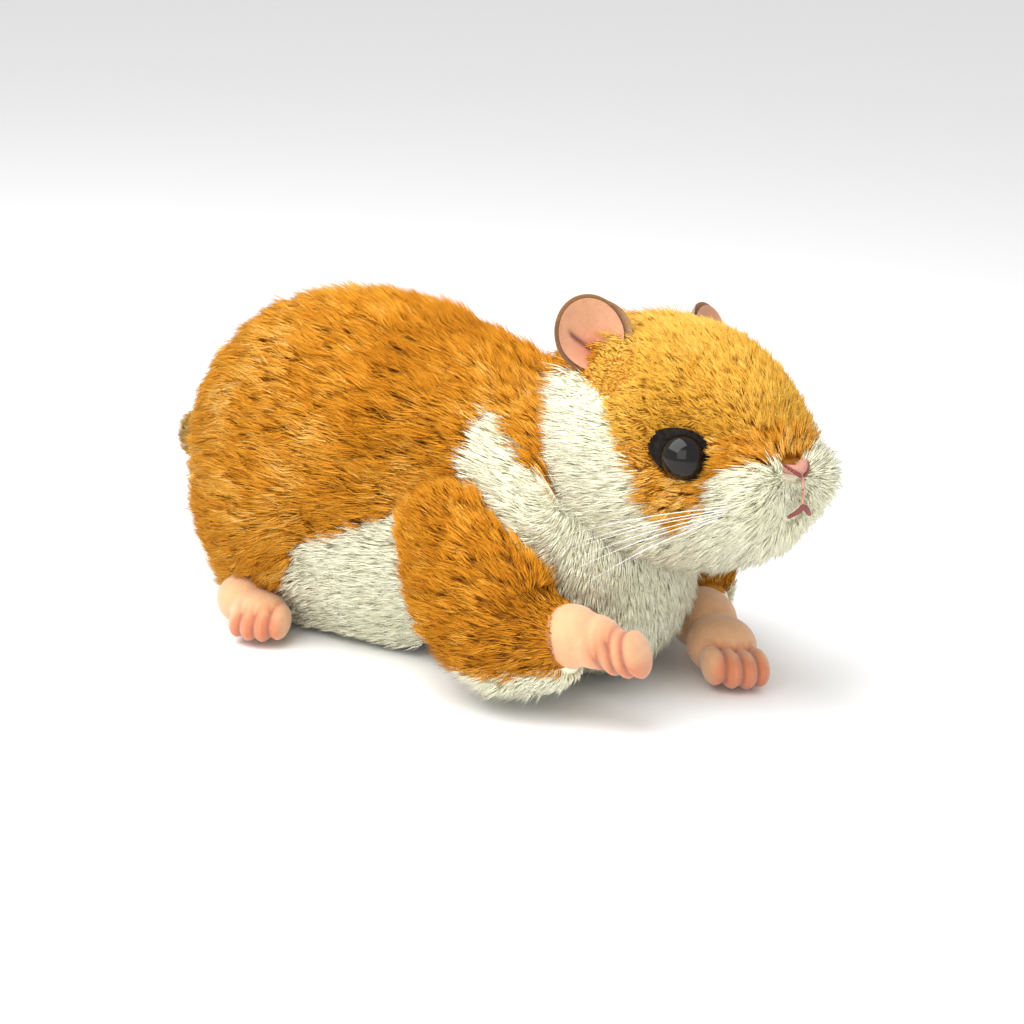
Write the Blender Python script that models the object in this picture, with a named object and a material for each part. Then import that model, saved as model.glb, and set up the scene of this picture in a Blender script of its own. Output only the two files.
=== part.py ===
"""A plush hamster with a battery-driven nodding head, lying on its belly.

Every length below is in millimetres, in the animal's own frame: it faces -Y, +X is its left
side and +Z is up, with the floor at z = 0. add_part() turns each shape into metres and shifts
it, so that the middle of the whole animal's box stands at the origin.
"""

import math

import bmesh
import bpy
from mathutils import Matrix, Vector

for old in list(bpy.data.objects):
    bpy.data.objects.remove(old, do_unlink=True)

MM = 0.001
TO_BOX_MIDDLE = Vector((-0.3, -4.2, 0.0))  # added to every place in the animal's frame

GAP = 0.35  # between pieces that touch on the real toy
COVER = 4.0  # pile fabric, backing and pressed pile together
STUFFING_INSET = COVER + 2.6  # its facets are wider, so it keeps further off

HEAD_MIDDLE = Vector((3.0, -58.0, 70.5))
HEAD_YAW, HEAD_ROLL, HEAD_PITCH = -13.0, 3.6, -11.0  # degrees: turned to its right, chin up
NECK_Y, NECK_Z = -32.0, 60.0  # the nodding axis runs along X through here
NOD_DOWN, NOD_UP = 6.0, 10.0  # degrees
NECK_ROLL_R = 9.0  # radius of the roll of body cover left around the nodding axis

CORE_X, CORE_FRONT, CORE_REAR = 22.0, -22.0, 72.0
CORE_BOTTOM, CORE_SPLIT, CORE_TOP = 4.0, 32.0, 62.0
WALL = 2.0
BAY_FRONT, BAY_REAR, BAY_X, BAY_TOP = 11.0, 63.0, 18.0, 18.5
CELL_R, CELL_LENGTH, CELL_PITCH = 5.1, 44.0, 11.6

SECTOR_TEETH, IDLER_SMALL_TEETH, SECTOR_MODULE = 45, 12, 0.8
IDLER_BIG_TEETH, PINION_TEETH, MOTOR_MODULE = 36, 10, 0.6
IDLER_ANGLE = -35.0  # degrees below the level, seen from the neck shaft towards the tail


# ---------------------------------------------------------------- finishes

def finish(name, colour, roughness, metallic=0.0):
    material = bpy.data.materials.new(name)
    material.use_nodes = True
    shader = material.node_tree.nodes["Principled BSDF"]
    shader.inputs["Base Color"].default_value = (*colour, 1.0)
    shader.inputs["Roughness"].default_value = roughness
    shader.inputs["Metallic"].default_value = metallic
    return material


GOLD_PLUSH = finish("gold_plush", (0.62, 0.33, 0.10), 0.9)
WHITE_PLUSH = finish("white_plush", (0.87, 0.85, 0.78), 0.9)
FILLING = finish("polyester_filling", (0.93, 0.93, 0.91), 1.0)
FELT = finish("peach_felt", (0.85, 0.55, 0.40), 0.95)
EAR_SUEDE = finish("tan_suede", (0.50, 0.31, 0.18), 0.95)
EYE_PLASTIC = finish("black_eye_plastic", (0.01, 0.01, 0.012), 0.08)
THREAD = finish("pink_thread", (0.70, 0.35, 0.30), 0.8)
NYLON = finish("clear_nylon", (0.9, 0.9, 0.88), 0.25)
HOUSING = finish("grey_housing_plastic", (0.55, 0.56, 0.58), 0.5)
DARK_PLASTIC = finish("dark_plastic", (0.05, 0.05, 0.055), 0.45)
ACETAL = finish("white_acetal", (0.88, 0.88, 0.85), 0.4)
BOARD = finish("circuit_board_green", (0.05, 0.25, 0.12), 0.5)
STEEL = finish("bright_steel", (0.7, 0.7, 0.72), 0.3, 1.0)
CELL_JACKET = finish("cell_jacket", (0.16, 0.30, 0.42), 0.35)
WASHER_PLASTIC = finish("washer_plastic", (0.8, 0.8, 0.8), 0.5)
LEAD_JACKET = finish("lead_jacket", (0.6, 0.05, 0.04), 0.5)


# ---------------------------------------------------------------- shapes

def add_part(name, mesh_data, material=None, origin=(0, 0, 0)):
    """One object from a bmesh in millimetres; no material makes it a hidden cutter."""
    centre = Vector(origin)
    for vert in mesh_data.verts:
        vert.co = (vert.co - centre) * MM
    mesh = bpy.data.meshes.new(name)
    mesh_data.to_mesh(mesh)
    mesh_data.free()
    part = bpy.data.objects.new(name, mesh)
    part.location = (centre + TO_BOX_MIDDLE) * MM
    bpy.context.scene.collection.objects.link(part)
    if material is None:
        part.hide_render = True
        part.display_type = "WIRE"
    else:
        mesh.materials.append(material)
        mesh.shade_smooth()
        mesh.set_sharp_from_angle(angle=math.radians(35))
    return part


def combine(part, other, operation="DIFFERENCE"):
    modifier = part.modifiers.new(operation.lower(), "BOOLEAN")
    modifier.operation = operation
    modifier.object = other


def cut(part, *cutters):
    for cutter in cutters:
        combine(part, cutter)


def join(part, *others):
    for other in others:
        combine(part, other, "UNION")


def skin_rings(shape, rings, inward=False):
    """Faces between successive rings of points; a ring of one point is a pole."""
    rows = [[shape.verts.new(point) for point in ring] for ring in rings]
    for first, second in zip(rows, rows[1:]):
        count = max(len(first), len(second))
        for i in range(count):
            corners = [
                first[i % len(first)],
                first[(i + 1) % len(first)],
                second[(i + 1) % len(second)],
                second[i % len(second)],
            ]
            corners = list(dict.fromkeys(corners))
            shape.faces.new(corners[::-1] if inward else corners)


def facing_out(shape):
    bmesh.ops.recalc_face_normals(shape, faces=shape.faces)
    return shape


def between(stations, share):
    """Catmull-Rom interpolation of a list of number tuples, share running from 0 to 1."""
    place = share * (len(stations) - 1)
    i = min(int(place), len(stations) - 2)
    t = place - i
    last = len(stations) - 1
    rows = [stations[max(0, min(last, i + k))] for k in (-1, 0, 1, 2)]
    return [
        0.5 * (2 * b + (c - a) * t + (2 * a - 5 * b + 4 * c - d) * t * t + (3 * b - a - 3 * c + d) * t**3)
        for a, b, c, d in zip(*rows)
    ]


def hull_rings(stations, inset, around=24, along=15, power=2.4, floor=None, place=None):
    """Rings of a stuffed hull lofted along Y. Stations are (y, half width, bottom, top). An
    inset scales the whole hull, so that hulls of different insets always nest."""
    front, rear = stations[0][0], stations[-1][0]
    widest = max(half for _, half, _, _ in stations)
    tallest = max(top - bottom for _, _, bottom, top in stations) / 2
    core = sum(bottom + top for _, _, bottom, top in stations) / (2 * len(stations))
    shrink = (rear - front - 2 * inset) / (rear - front)
    rings = []
    for k in range(along):
        y, half, bottom, top = between(stations, k / (along - 1))
        y = (y - (front + rear) / 2) * shrink + (front + rear) / 2
        middle = core + ((bottom + top) / 2 - core) * (1 - inset / tallest)
        if k in (0, along - 1):
            ring = [Vector((0, y, middle))]
        else:
            wide = half * (1 - inset / widest)
            tall = (top - bottom) / 2 * (1 - inset / tallest)
            ring = []
            for j in range(around):
                turn = 2 * math.pi * j / around
                s, c = math.sin(turn), math.cos(turn)
                x = wide * math.copysign(abs(s) ** (2 / power), s)
                z = middle + tall * math.copysign(abs(c) ** (2 / power), c)
                ring.append(Vector((x, y, z)))
        if floor is not None:
            ring = [Vector((p.x, p.y, max(p.z, floor + inset))) for p in ring]
        rings.append([place @ p for p in ring] if place else ring)
    return rings


def hull(stations, inset, wall=None, **options):
    """A closed hull, or with a wall its shell, whose sealed hollow a later cut opens."""
    shape = bmesh.new()
    skin_rings(shape, hull_rings(stations, inset, **options))
    if wall:
        skin_rings(shape, hull_rings(stations, inset + wall, **options), inward=True)
    return shape if wall else facing_out(shape)


def limb(stations, grow=0.0, around=14, steps=3, floor=0.0):
    """A stuffed limb with round ends. Stations are (x, y, z, half width, half height)."""
    count = (len(stations) - 1) * steps + 1
    rows = [between(stations, k / (count - 1)) for k in range(count)]
    rings = []
    for k, (x, y, z, half_width, half_height) in enumerate(rows):
        ahead = Vector(rows[min(k + 1, count - 1)][:3]) - Vector(rows[max(k - 1, 0)][:3])
        ahead.normalize()
        side = ahead.cross(Vector((0, 0, 1))).normalized()
        up = side.cross(ahead)
        ends = []
        if k == 0:
            ends = [(-1.0, 0.0), (-0.7, 0.71)]
        ring_list = ends + [(0.0, 1.0)]
        if k == count - 1:
            ring_list = [(0.0, 1.0), (0.7, 0.71), (1.0, 0.0)]
        for forward, share in ring_list:
            centre = Vector((x, y, z)) + ahead * forward * (min(half_width, half_height) + grow)
            if share == 0.0:
                ring = [centre]
            else:
                ring = [
                    centre
                    + side * math.sin(2 * math.pi * j / around) * (half_width + grow) * share
                    + up * math.cos(2 * math.pi * j / around) * (half_height + grow) * share
                    for j in range(around)
                ]
            rings.append([Vector((p.x, p.y, max(p.z, floor - grow))) for p in ring])
    shape = bmesh.new()
    skin_rings(shape, rings)
    return facing_out(shape)


def turned(profile, base, axis, sides=16):
    """A lathe shape: (radius, height) points along an axis from base. A profile that ends
    at radius 0 on both ends is solid, and one that comes back to its start is a ring."""
    axis = Vector(axis).normalized()
    side = axis.orthogonal().normalized()
    other = axis.cross(side)
    rings = []
    for radius, height in profile:
        centre = Vector(base) + axis * height
        turns = [2 * math.pi * (j + 0.5) / sides for j in range(sides)]
        if radius == 0:
            rings.append([centre])
        else:
            rings.append([centre + side * radius * math.cos(t) + other * radius * math.sin(t) for t in turns])
    shape = bmesh.new()
    skin_rings(shape, rings)
    if profile[0] == profile[-1]:
        bmesh.ops.remove_doubles(shape, verts=shape.verts, dist=1e-5)
    return facing_out(shape)


def rod(start, end, radius, sides=12):
    length = (Vector(end) - Vector(start)).length
    return turned([(0, 0), (radius, 0), (radius, length), (0, length)], start, Vector(end) - Vector(start), sides)


def block(low, high):
    shape = bmesh.new()
    size = [b - a for a, b in zip(low, high)]
    middle = [(a + b) / 2 for a, b in zip(low, high)]
    bmesh.ops.create_cube(shape, size=1.0, matrix=Matrix.Translation(middle) @ Matrix.Diagonal((*size, 1.0)))
    return shape


def rounded_block(low, high, radius, segments=2):
    """A block whose upright edges and top and bottom rims are all rounded alike."""
    shape = block(low, high)
    bmesh.ops.bevel(shape, geom=shape.edges, offset=radius, segments=segments, profile=0.5, affect="EDGES")
    return shape


def slab(outline, low, high, axis="X", place=None):
    """An outline, drawn in the plane across an axis, made solid between two heights on it."""
    at = {"X": lambda a, b, h: (h, a, b), "Z": lambda a, b, h: (a, b, h)}[axis]
    shape = bmesh.new()
    rings = [[shape.verts.new(at(a, b, h)) for a, b in outline] for h in (low, high)]
    shape.faces.new(rings[0])
    shape.faces.new(rings[1])
    for i in range(len(outline)):
        n = (i + 1) % len(outline)
        shape.faces.new([rings[0][i], rings[0][n], rings[1][n], rings[1][i]])
    if place:
        bmesh.ops.transform(shape, matrix=place, verts=shape.verts)
    return facing_out(shape)


def tube(points, radius, sides=8):
    """A round tube along a list of points, with flat closed ends."""
    rings = []
    count = len(points)
    for k, point in enumerate(points):
        ahead = Vector(points[min(k + 1, count - 1)]) - Vector(points[max(k - 1, 0)])
        side = ahead.cross(Vector((0.13, 0.29, 0.95))).normalized()
        up = ahead.cross(side).normalized()
        turns = [2 * math.pi * j / sides for j in range(sides)]
        ring = [Vector(point) + (side * math.cos(t) + up * math.sin(t)) * radius for t in turns]
        if k == 0:
            rings.append([Vector(point)])
        rings.append(ring)
        if k == count - 1:
            rings.append([Vector(point)])
    shape = bmesh.new()
    skin_rings(shape, rings)
    return facing_out(shape)


def arc(radius, start, end, steps, y=0.0, z=0.0):
    """Points in the YZ plane. Angles are in degrees from straight ahead (-Y) up towards +Z."""
    turns = [math.radians(start + (end - start) * i / steps) for i in range(steps + 1)]
    return [(y - radius * math.cos(t), z + radius * math.sin(t)) for t in turns]


def gear_outline(teeth, module, y, z, phase, first=0, last=None):
    """Slim trapezoid teeth; phase in degrees puts a tooth's middle there, from +Y up to +Z.
    With last given, only teeth first to last are cut, and the outline closes at the hub."""
    pitch = module * teeth / 2
    tip, root = pitch + 0.75 * module, pitch - 1.15 * module
    step = 360 / teeth
    points = []
    last = teeth - 1 if last is None else last
    for k in range(first, last + 1):
        middle = phase + k * step
        corners = [(root, -0.29), (tip, -0.10), (tip, 0.10), (root, 0.29)]
        for radius, share in corners:
            t = math.radians(middle + share * step)
            points.append((y + radius * math.cos(t), z + radius * math.sin(t)))
    return points


# ---------------------------------------------------------------- body, outer forms

BODY = [
    (-63, 2, 27, 31),
    (-60, 20, 9, 50),
    (-50, 32, -3, 68),
    (-34, 39, -5, 82),
    (-12, 40, -5, 89),
    (10, 42, -5, 95),
    (32, 46, -5, 101),
    (54, 47, -5, 102),
    (74, 44, -4, 98),
    (92, 32, 8, 84),
    (102, 16, 27, 64),
    (104, 2, 43, 47),
]
HEAD = [
    (-43, 2, -11, -7),
    (-41, 12, -20, 4),
    (-33, 21, -28, 18),
    (-20, 29, -33, 30),
    (-6, 35, -35, 37),
    (9, 38, -35, 39),
    (22, 36, -32, 35),
    (33, 26, -22, 26),
    (40, 12, -9, 12),
    (41, 2, -1, 3),
]
HEAD_PLACE = (
    Matrix.Translation(HEAD_MIDDLE)
    @ Matrix.Rotation(math.radians(HEAD_YAW), 4, "Z")
    @ Matrix.Rotation(math.radians(HEAD_ROLL), 4, "Y")
    @ Matrix.Rotation(math.radians(HEAD_PITCH), 4, "X")
)
FAR = 150.0  # cutters reach this far past the animal


def body_form(inset, wall=None, around=24, along=15):
    return hull(BODY, inset, wall, around=around, along=along, floor=0.0)


def head_form(inset, wall=None, around=24, along=13):
    return hull(HEAD, inset, wall, around=around, along=along, power=2.2, place=HEAD_PLACE)


body_clearance = add_part("body_clearance_cutter", body_form(-GAP))
head_clearance = add_part("head_clearance_cutter", head_form(-GAP))

# The head turns about the neck shaft. Its covers keep to the sector ahead of the shaft, and
# the body's keep out of a sector that is wider by the nod each way.
HEAD_SECTOR = (-25.0, 97.0)
BODY_SECTOR = (HEAD_SECTOR[0] - NOD_DOWN - 2.0, HEAD_SECTOR[1] + NOD_UP + 3.0)

body_sector_outline = arc(FAR, *BODY_SECTOR, 10, NECK_Y, NECK_Z)
body_sector_outline += arc(NECK_ROLL_R, *BODY_SECTOR[::-1], 10, NECK_Y, NECK_Z)
head_room = add_part("head_room_cutter", slab(body_sector_outline, -FAR, FAR))

behind_head_outline = arc(NECK_ROLL_R + 1.5, *HEAD_SECTOR, 10, NECK_Y, NECK_Z)
behind_head_outline += arc(FAR, HEAD_SECTOR[1], HEAD_SECTOR[0] + 360, 20, NECK_Y, NECK_Z)
behind_head = add_part("behind_head_cutter", slab(behind_head_outline, -FAR, FAR))

# The belly seam, seen from the side, from the chest to the tail.
SEAM = [(-70, 54), (-40, 50), (-15, 38), (10, 32), (35, 27), (60, 12), (85, 6), (115, 6)]


def seam_cutter(name, side):
    outline = [(y, z - side * GAP / 2) for y, z in SEAM]
    outline += [(FAR, side * FAR), (-FAR, side * FAR)]
    return add_part(name, slab(outline, -FAR, FAR))


above_seam = seam_cutter("above_seam_cutter", 1)
below_seam = seam_cutter("below_seam_cutter", -1)
core_opening = add_part(
    "core_opening_cutter",
    block((-CORE_X - 0.6, CORE_FRONT - 0.6, -5), (CORE_X + 0.6, CORE_REAR + 0.6, COVER + 3)),
)

back_cover = add_part("back_cover", body_form(0, COVER), GOLD_PLUSH)
cut(back_cover, below_seam, head_room)
belly_cover = add_part("belly_cover", body_form(0, COVER), WHITE_PLUSH)
cut(belly_cover, above_seam, head_room, core_opening)

core_room = add_part(
    "core_room_cutter",
    block((-CORE_X - 0.8, CORE_FRONT - 0.8, -5), (CORE_X + 0.8, CORE_REAR + 0.8, CORE_TOP + 0.8)),
)
neck_room = add_part("neck_room_cutter", block((-13, -75, 24), (16, CORE_FRONT + 20, 110)))
button_room = add_part("button_room_cutter", rod((0, 18, CORE_TOP - 1), (0, 18, CORE_TOP + 11), 11))
body_stuffing = add_part("body_stuffing", body_form(STUFFING_INSET, around=18, along=12), FILLING)
cut(body_stuffing, head_room, core_room, neck_room, button_room)


# ---------------------------------------------------------------- limbs and tail

RIGHT_FORELEG = [(-38, -8, 46, 16, 16), (-42, -19, 35, 18, 20), (-42, -32, 23, 19, 19), (-41, -43, 21, 15, 15)]
LEFT_FORELEG = [(38, -8, 44, 15, 16), (44, -24, 32, 17, 18), (45, -40, 21, 15, 16), (37, -50, 14, 12, 12)]
RIGHT_PAW = [(-42, -42, 25, 10, 9.5), (-39.5, -54, 24, 10.5, 9), (-37, -65, 22.5, 8.5, 7)]
LEFT_PAW = [(31, -53, 12, 10.5, 10), (20, -65, 9.5, 11, 9), (9, -77, 7, 10, 7)]
HIND_FOOT = [(33, 68, 11, 9, 9), (38, 60, 9.5, 9.5, 8.5), (41, 51, 7.5, 8.5, 7)]
TAIL = [(-1, 101, 45, 7, 8), (-2, 108, 45, 5, 6.5)]


def mirrored(stations):
    return [(-x, *rest) for x, *rest in stations]


for side, leg, paw in (("right", RIGHT_FORELEG, RIGHT_PAW), ("left", LEFT_FORELEG, LEFT_PAW)):
    foreleg = add_part(f"foreleg_{side}", limb(leg), GOLD_PLUSH)
    cut(foreleg, body_clearance)
    foreleg_clearance = add_part(f"foreleg_{side}_clearance_cutter", limb(leg, GAP))
    forepaw = add_part(f"forepaw_{side}", limb(paw, steps=2), FELT)
    cut(forepaw, foreleg_clearance, body_clearance)

for side, foot in (("right", mirrored(HIND_FOOT)), ("left", HIND_FOOT)):
    hind_foot = add_part(f"hind_foot_{side}", limb(foot, steps=2), FELT)
    cut(hind_foot, body_clearance)

tail = add_part("tail", limb(TAIL, around=10, steps=2), GOLD_PLUSH)
cut(tail, body_clearance)


# ---------------------------------------------------------------- head, outer forms

# The line between crown and face, seen from the head's own side.
FACE_SEAM = [(-60, -2), (-34, -4), (-22, -10), (-8, -12), (8, 2), (30, 18), (60, 26)]


def face_cutter(name, side):
    outline = [(y, z - side * GAP / 2) for y, z in FACE_SEAM]
    outline += [(FAR, side * FAR), (-FAR, side * FAR)]
    return add_part(name, slab(outline, -FAR, FAR, place=HEAD_PLACE))


above_face = face_cutter("above_face_cutter", 1)
below_crown = face_cutter("below_crown_cutter", -1)

SKULL_INSET, SKULL_WALL, SKULL_REAR = 14.0, 2.0, -50.0
skull_room = add_part("skull_room_cutter", head_form(SKULL_INSET - 0.8, around=16, along=10))
behind_skull = add_part("behind_skull_cutter", block((-FAR, SKULL_REAR, -FAR), (FAR, FAR, FAR)))

crown_cover = add_part("crown_cover", head_form(0, COVER), GOLD_PLUSH)
face_cover = add_part("face_cover", head_form(0, COVER), WHITE_PLUSH)
head_stuffing = add_part("head_stuffing", head_form(STUFFING_INSET, around=16, along=10), FILLING)
arm_room = add_part("arm_room_cutter", block((-25, -56, 48), (31, -20, 82)))
cut(crown_cover, below_crown, behind_head)
cut(face_cover, above_face, behind_head)
cut(head_stuffing, skull_room, behind_head, arm_room)
skull_shell = add_part("skull_shell", head_form(SKULL_INSET, SKULL_WALL, around=16, along=10), HOUSING)
cut(skull_shell, behind_skull, behind_head)

# Safety eyes: a domed front on a shank, and a washer pushed on from inside the cover.
EYE_R, SHANK_R, WASHER_R = 6.8, 2.0, 5.6
EYE_AT = Vector((26.0, -22.5, 1.4))
EYE_OUT = Vector((0.80, -0.59, 0.10))
EYE_SINK = 2.0  # of the dome's rim below the cover's surface
EYE_DOME = [(EYE_R, 0.0), (EYE_R * 0.93, 2.2), (EYE_R * 0.74, 4.0), (EYE_R * 0.42, 5.2), (0, 5.6)]
for side, sign in (("right", -1), ("left", 1)):
    outward = HEAD_PLACE.to_3x3() @ Vector((sign * EYE_OUT.x, EYE_OUT.y, EYE_OUT.z)).normalized()
    seat = HEAD_PLACE @ Vector((sign * EYE_AT.x, EYE_AT.y, EYE_AT.z)) - outward * EYE_SINK
    shank = [(0, -8.0), (SHANK_R, -8.0), (SHANK_R, -0.6), (EYE_R - 0.6, -0.6)]
    eye = add_part(f"eye_{side}", turned(shank + EYE_DOME, seat, outward), EYE_PLASTIC)
    hole = SHANK_R + 0.25
    washer_profile = [(hole, -6.4), (WASHER_R, -6.4), (WASHER_R, -5.4), (hole, -5.4), (hole, -6.4)]
    washer = add_part(f"eye_washer_{side}", turned(washer_profile, seat, outward, 12), WASHER_PLASTIC)
    room = [(0, -8.6), (2.8, -8.6), (2.8, -7), (6.3, -7), (6.3, -4.2), (2.8, -4.2), (2.8, -1.2)]
    room += [(EYE_R + 0.5, -1.2), (EYE_R + 0.5, 8), (0, 8)]
    eye_room = add_part(f"eye_{side}_room_cutter", turned(room, seat, outward))
    cut(crown_cover, eye_room)
    cut(face_cover, eye_room)
    cut(head_stuffing, eye_room)

# Ears: a suede back and a velour lining, nested, sewn to the crown on their lower edge.
EAR_HALF_WIDTH, EAR_HEIGHT, EAR_CUP = 9.6, 22.5, 4.5
EAR_AT = {"right": Vector((-24.0, 6.5, 22.5)), "left": Vector((26.5, 12.0, 20.0))}
EAR_TILT = {"right": (-38.0, -8.0, -14.0), "left": (30.0, -8.0, 38.0)}  # turn, lean back, splay


def ear_dish(place, back, thickness):
    """A round cup standing on its lowest edge: rings of a disc, pushed back in the middle."""
    front, rear = [], []
    for share in (0.0, 0.4, 0.75, 1.0):
        count = 1 if share == 0 else 16
        ring = [2 * math.pi * j / count for j in range(count)]
        spots = [(EAR_HALF_WIDTH * share * math.sin(t), EAR_HEIGHT / 2 * (1 - share * math.cos(t))) for t in ring]
        cup = EAR_CUP * (1 - share * share) + back
        front.append([place @ Vector((x, cup, z)) for x, z in spots])
        rear.append([place @ Vector((x, cup + thickness, z)) for x, z in spots])
    shape = bmesh.new()
    skin_rings(shape, front + rear[::-1])
    return facing_out(shape)


for side in ("right", "left"):
    turn, lean, splay = EAR_TILT[side]
    ear_place = (
        HEAD_PLACE
        @ Matrix.Translation(EAR_AT[side])
        @ Matrix.Rotation(math.radians(turn), 4, "Z")
        @ Matrix.Rotation(math.radians(splay), 4, "Y")
        @ Matrix.Rotation(math.radians(lean), 4, "X")
    )
    lining = add_part(f"ear_lining_{side}", ear_dish(ear_place, 0.0, 1.2), FELT)
    back = add_part(f"ear_back_{side}", ear_dish(ear_place, 1.2 + GAP, 1.4), EAR_SUEDE)
    cut(lining, head_clearance)
    cut(back, head_clearance)

nose = add_part("nose", limb([(0, 0, 0, 3.4, 2.3), (0, -1.5, 0.2, 3.0, 2.0)], around=10, steps=1, floor=-FAR), THREAD)
nose.location = (HEAD_PLACE @ Vector((0, -42.0, -5.0)) + TO_BOX_MIDDLE) * MM
nose.rotation_euler = HEAD_PLACE.to_euler()
cut(nose, head_clearance)

mouth_points = [(-5.5, -42.6, -19.2), (-2.6, -44.2, -17.4), (0, -44.6, -15.8), (2.6, -44.2, -17.4), (5.5, -42.6, -19.2)]
mouth = add_part("mouth_stitch", tube([HEAD_PLACE @ Vector(p) for p in mouth_points], 0.6, 6), THREAD)
cut(mouth, head_clearance)

# Whiskers: stiff nylon hairs knotted to a small backing patch on each side of the muzzle.
WHISKER_R = 0.35
WHISKER_ROOT = Vector((19.5, -37.5, -12.0))
WHISKER_TIPS = [(38, -28, -4), (42, -20, -10), (43, -14, -16), (41, -10, -23), (37, -8, -30)]
for side, sign in (("right", -1), ("left", 1)):
    root = Vector((sign * WHISKER_ROOT.x, WHISKER_ROOT.y, WHISKER_ROOT.z))
    outward = HEAD_PLACE.to_3x3() @ Vector((sign * 0.62, -0.78, -0.1)).normalized()
    seat = HEAD_PLACE @ root
    patch_profile = [(0, 1.0), (3.6, 1.0), (3.6, 2.2), (0, 2.2)]
    whiskers = add_part(f"whiskers_{side}", turned(patch_profile, seat, outward, 10), NYLON)
    for i, (x, y, z) in enumerate(WHISKER_TIPS):
        start = seat + outward * 1.7 + HEAD_PLACE.to_3x3() @ Vector((0, 0, 2.2 - 1.1 * i))
        tip = HEAD_PLACE @ Vector((sign * x, y, z))
        hair = add_part(f"whisker_{side}_{i}_helper", tube([start, tip], WHISKER_R, 5))
        join(whiskers, hair)
    cut(whiskers, head_clearance)


# ---------------------------------------------------------------- core housing

POST_X, POST_FRONT_Y, POST_REAR_Y = 17.5, -17.5, 67.5
POST_HALF = 3.0
SCREW_SHANK_R, SCREW_HEAD_R = 1.15, 2.6
BRACKET_RIGHT, BRACKET_LEFT, PLATE = -7.0, 9.3, 2.0
BRACKET_BASE, BRACKET_REAR = 31.0, -8.5
SPEAKER_Y, BUTTON_Y = 50.0, 18.0
POSTS = [(x, y) for y in (POST_FRONT_Y, POST_REAR_Y) for x in (-POST_X, POST_X)]

lower = add_part(
    "core_housing_lower",
    block((-CORE_X, CORE_FRONT, CORE_BOTTOM), (CORE_X, CORE_REAR, CORE_SPLIT)),
    HOUSING,
)
floor_top = CORE_BOTTOM + WALL
inner_x, inner_front, inner_rear = CORE_X - WALL, CORE_FRONT + WALL, CORE_REAR - WALL
deck = BAY_TOP + 1.5
cut(
    lower,
    add_part("deck_cutter", block((-inner_x, inner_front, deck), (inner_x, inner_rear, 50))),
    add_part("well_cutter", block((-inner_x, inner_front, floor_top), (inner_x, BAY_FRONT - WALL, 50))),
    add_part("bay_cutter", block((-BAY_X, BAY_FRONT, -5), (BAY_X, BAY_REAR, BAY_TOP))),
)
join(
    lower,
    add_part(
        "bracket_stand_helper",
        block((BRACKET_RIGHT, CORE_FRONT + 1, CORE_BOTTOM + 1), (BRACKET_LEFT, BRACKET_REAR, BRACKET_BASE - GAP)),
    ),
)

upper = add_part(
    "core_housing_upper",
    rounded_block((-CORE_X, CORE_FRONT, 20), (CORE_X, CORE_REAR, CORE_TOP), 4.0),
    HOUSING,
)
cut(
    upper,
    add_part("upper_trim_cutter", block((-FAR, -FAR, 0), (FAR, FAR, CORE_SPLIT + GAP))),
    add_part("upper_hollow_cutter", block((-inner_x, inner_front, 20), (inner_x, inner_rear, CORE_TOP - WALL))),
)

for i, (x, y) in enumerate(POSTS, start=1):
    low = (x - POST_HALF, y - POST_HALF)
    high = (x + POST_HALF, y + POST_HALF)
    join(lower, add_part(f"lower_post_{i}_helper", block((*low, CORE_BOTTOM + 1), (*high, CORE_SPLIT))))
    join(upper, add_part(f"upper_post_{i}_helper", block((*low, CORE_SPLIT + GAP), (*high, CORE_TOP - 1))))

notch = add_part(
    "neck_notch_cutter",
    block((BRACKET_RIGHT - 1, CORE_FRONT - 5, BRACKET_BASE - GAP), (BRACKET_LEFT + 1, -6, 80)),
)
cut(lower, notch)
cut(upper, notch)

for i, (x, y) in enumerate(POSTS, start=1):
    hole = add_part(f"post_hole_{i}_cutter", rod((x, y, -2), (x, y, 50), SCREW_SHANK_R + 0.3))
    sink = add_part(f"post_sink_{i}_cutter", rod((x, y, -2), (x, y, CORE_BOTTOM + 2.6), SCREW_HEAD_R + 0.4))
    cut(lower, hole, sink)
    cut(upper, hole)
    profile = [(0, 0), (SCREW_HEAD_R, 0), (SCREW_HEAD_R, 2), (SCREW_SHANK_R, 2), (SCREW_SHANK_R, 43), (0, 44)]
    add_part(f"housing_screw_{i}", turned(profile, (x, y, CORE_BOTTOM + 0.3), (0, 0, 1), 12), STEEL)

grille = [(0.0, 0.0)] + [(7 * math.cos(math.radians(a)), 7 * math.sin(math.radians(a))) for a in range(0, 360, 60)]
for i, (x, y) in enumerate(grille):
    spot = (x, SPEAKER_Y + y)
    cut(upper, add_part(f"grille_{i}_cutter", rod((*spot, 55), (*spot, 70), 1.5, 8)))

cut(upper, add_part("stem_hole_cutter", rod((0, BUTTON_Y, 55), (0, BUTTON_Y, 70), 2.6)))
MICROPHONE = (-10.7, 24.0)
sound_hole = rod((MICROPHONE[0], -30, MICROPHONE[1]), (MICROPHONE[0], -18, MICROPHONE[1]), 1.2, 8)
cut(lower, add_part("sound_hole_cutter", sound_hole))


# ---------------------------------------------------------------- batteries, door and switch

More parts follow.
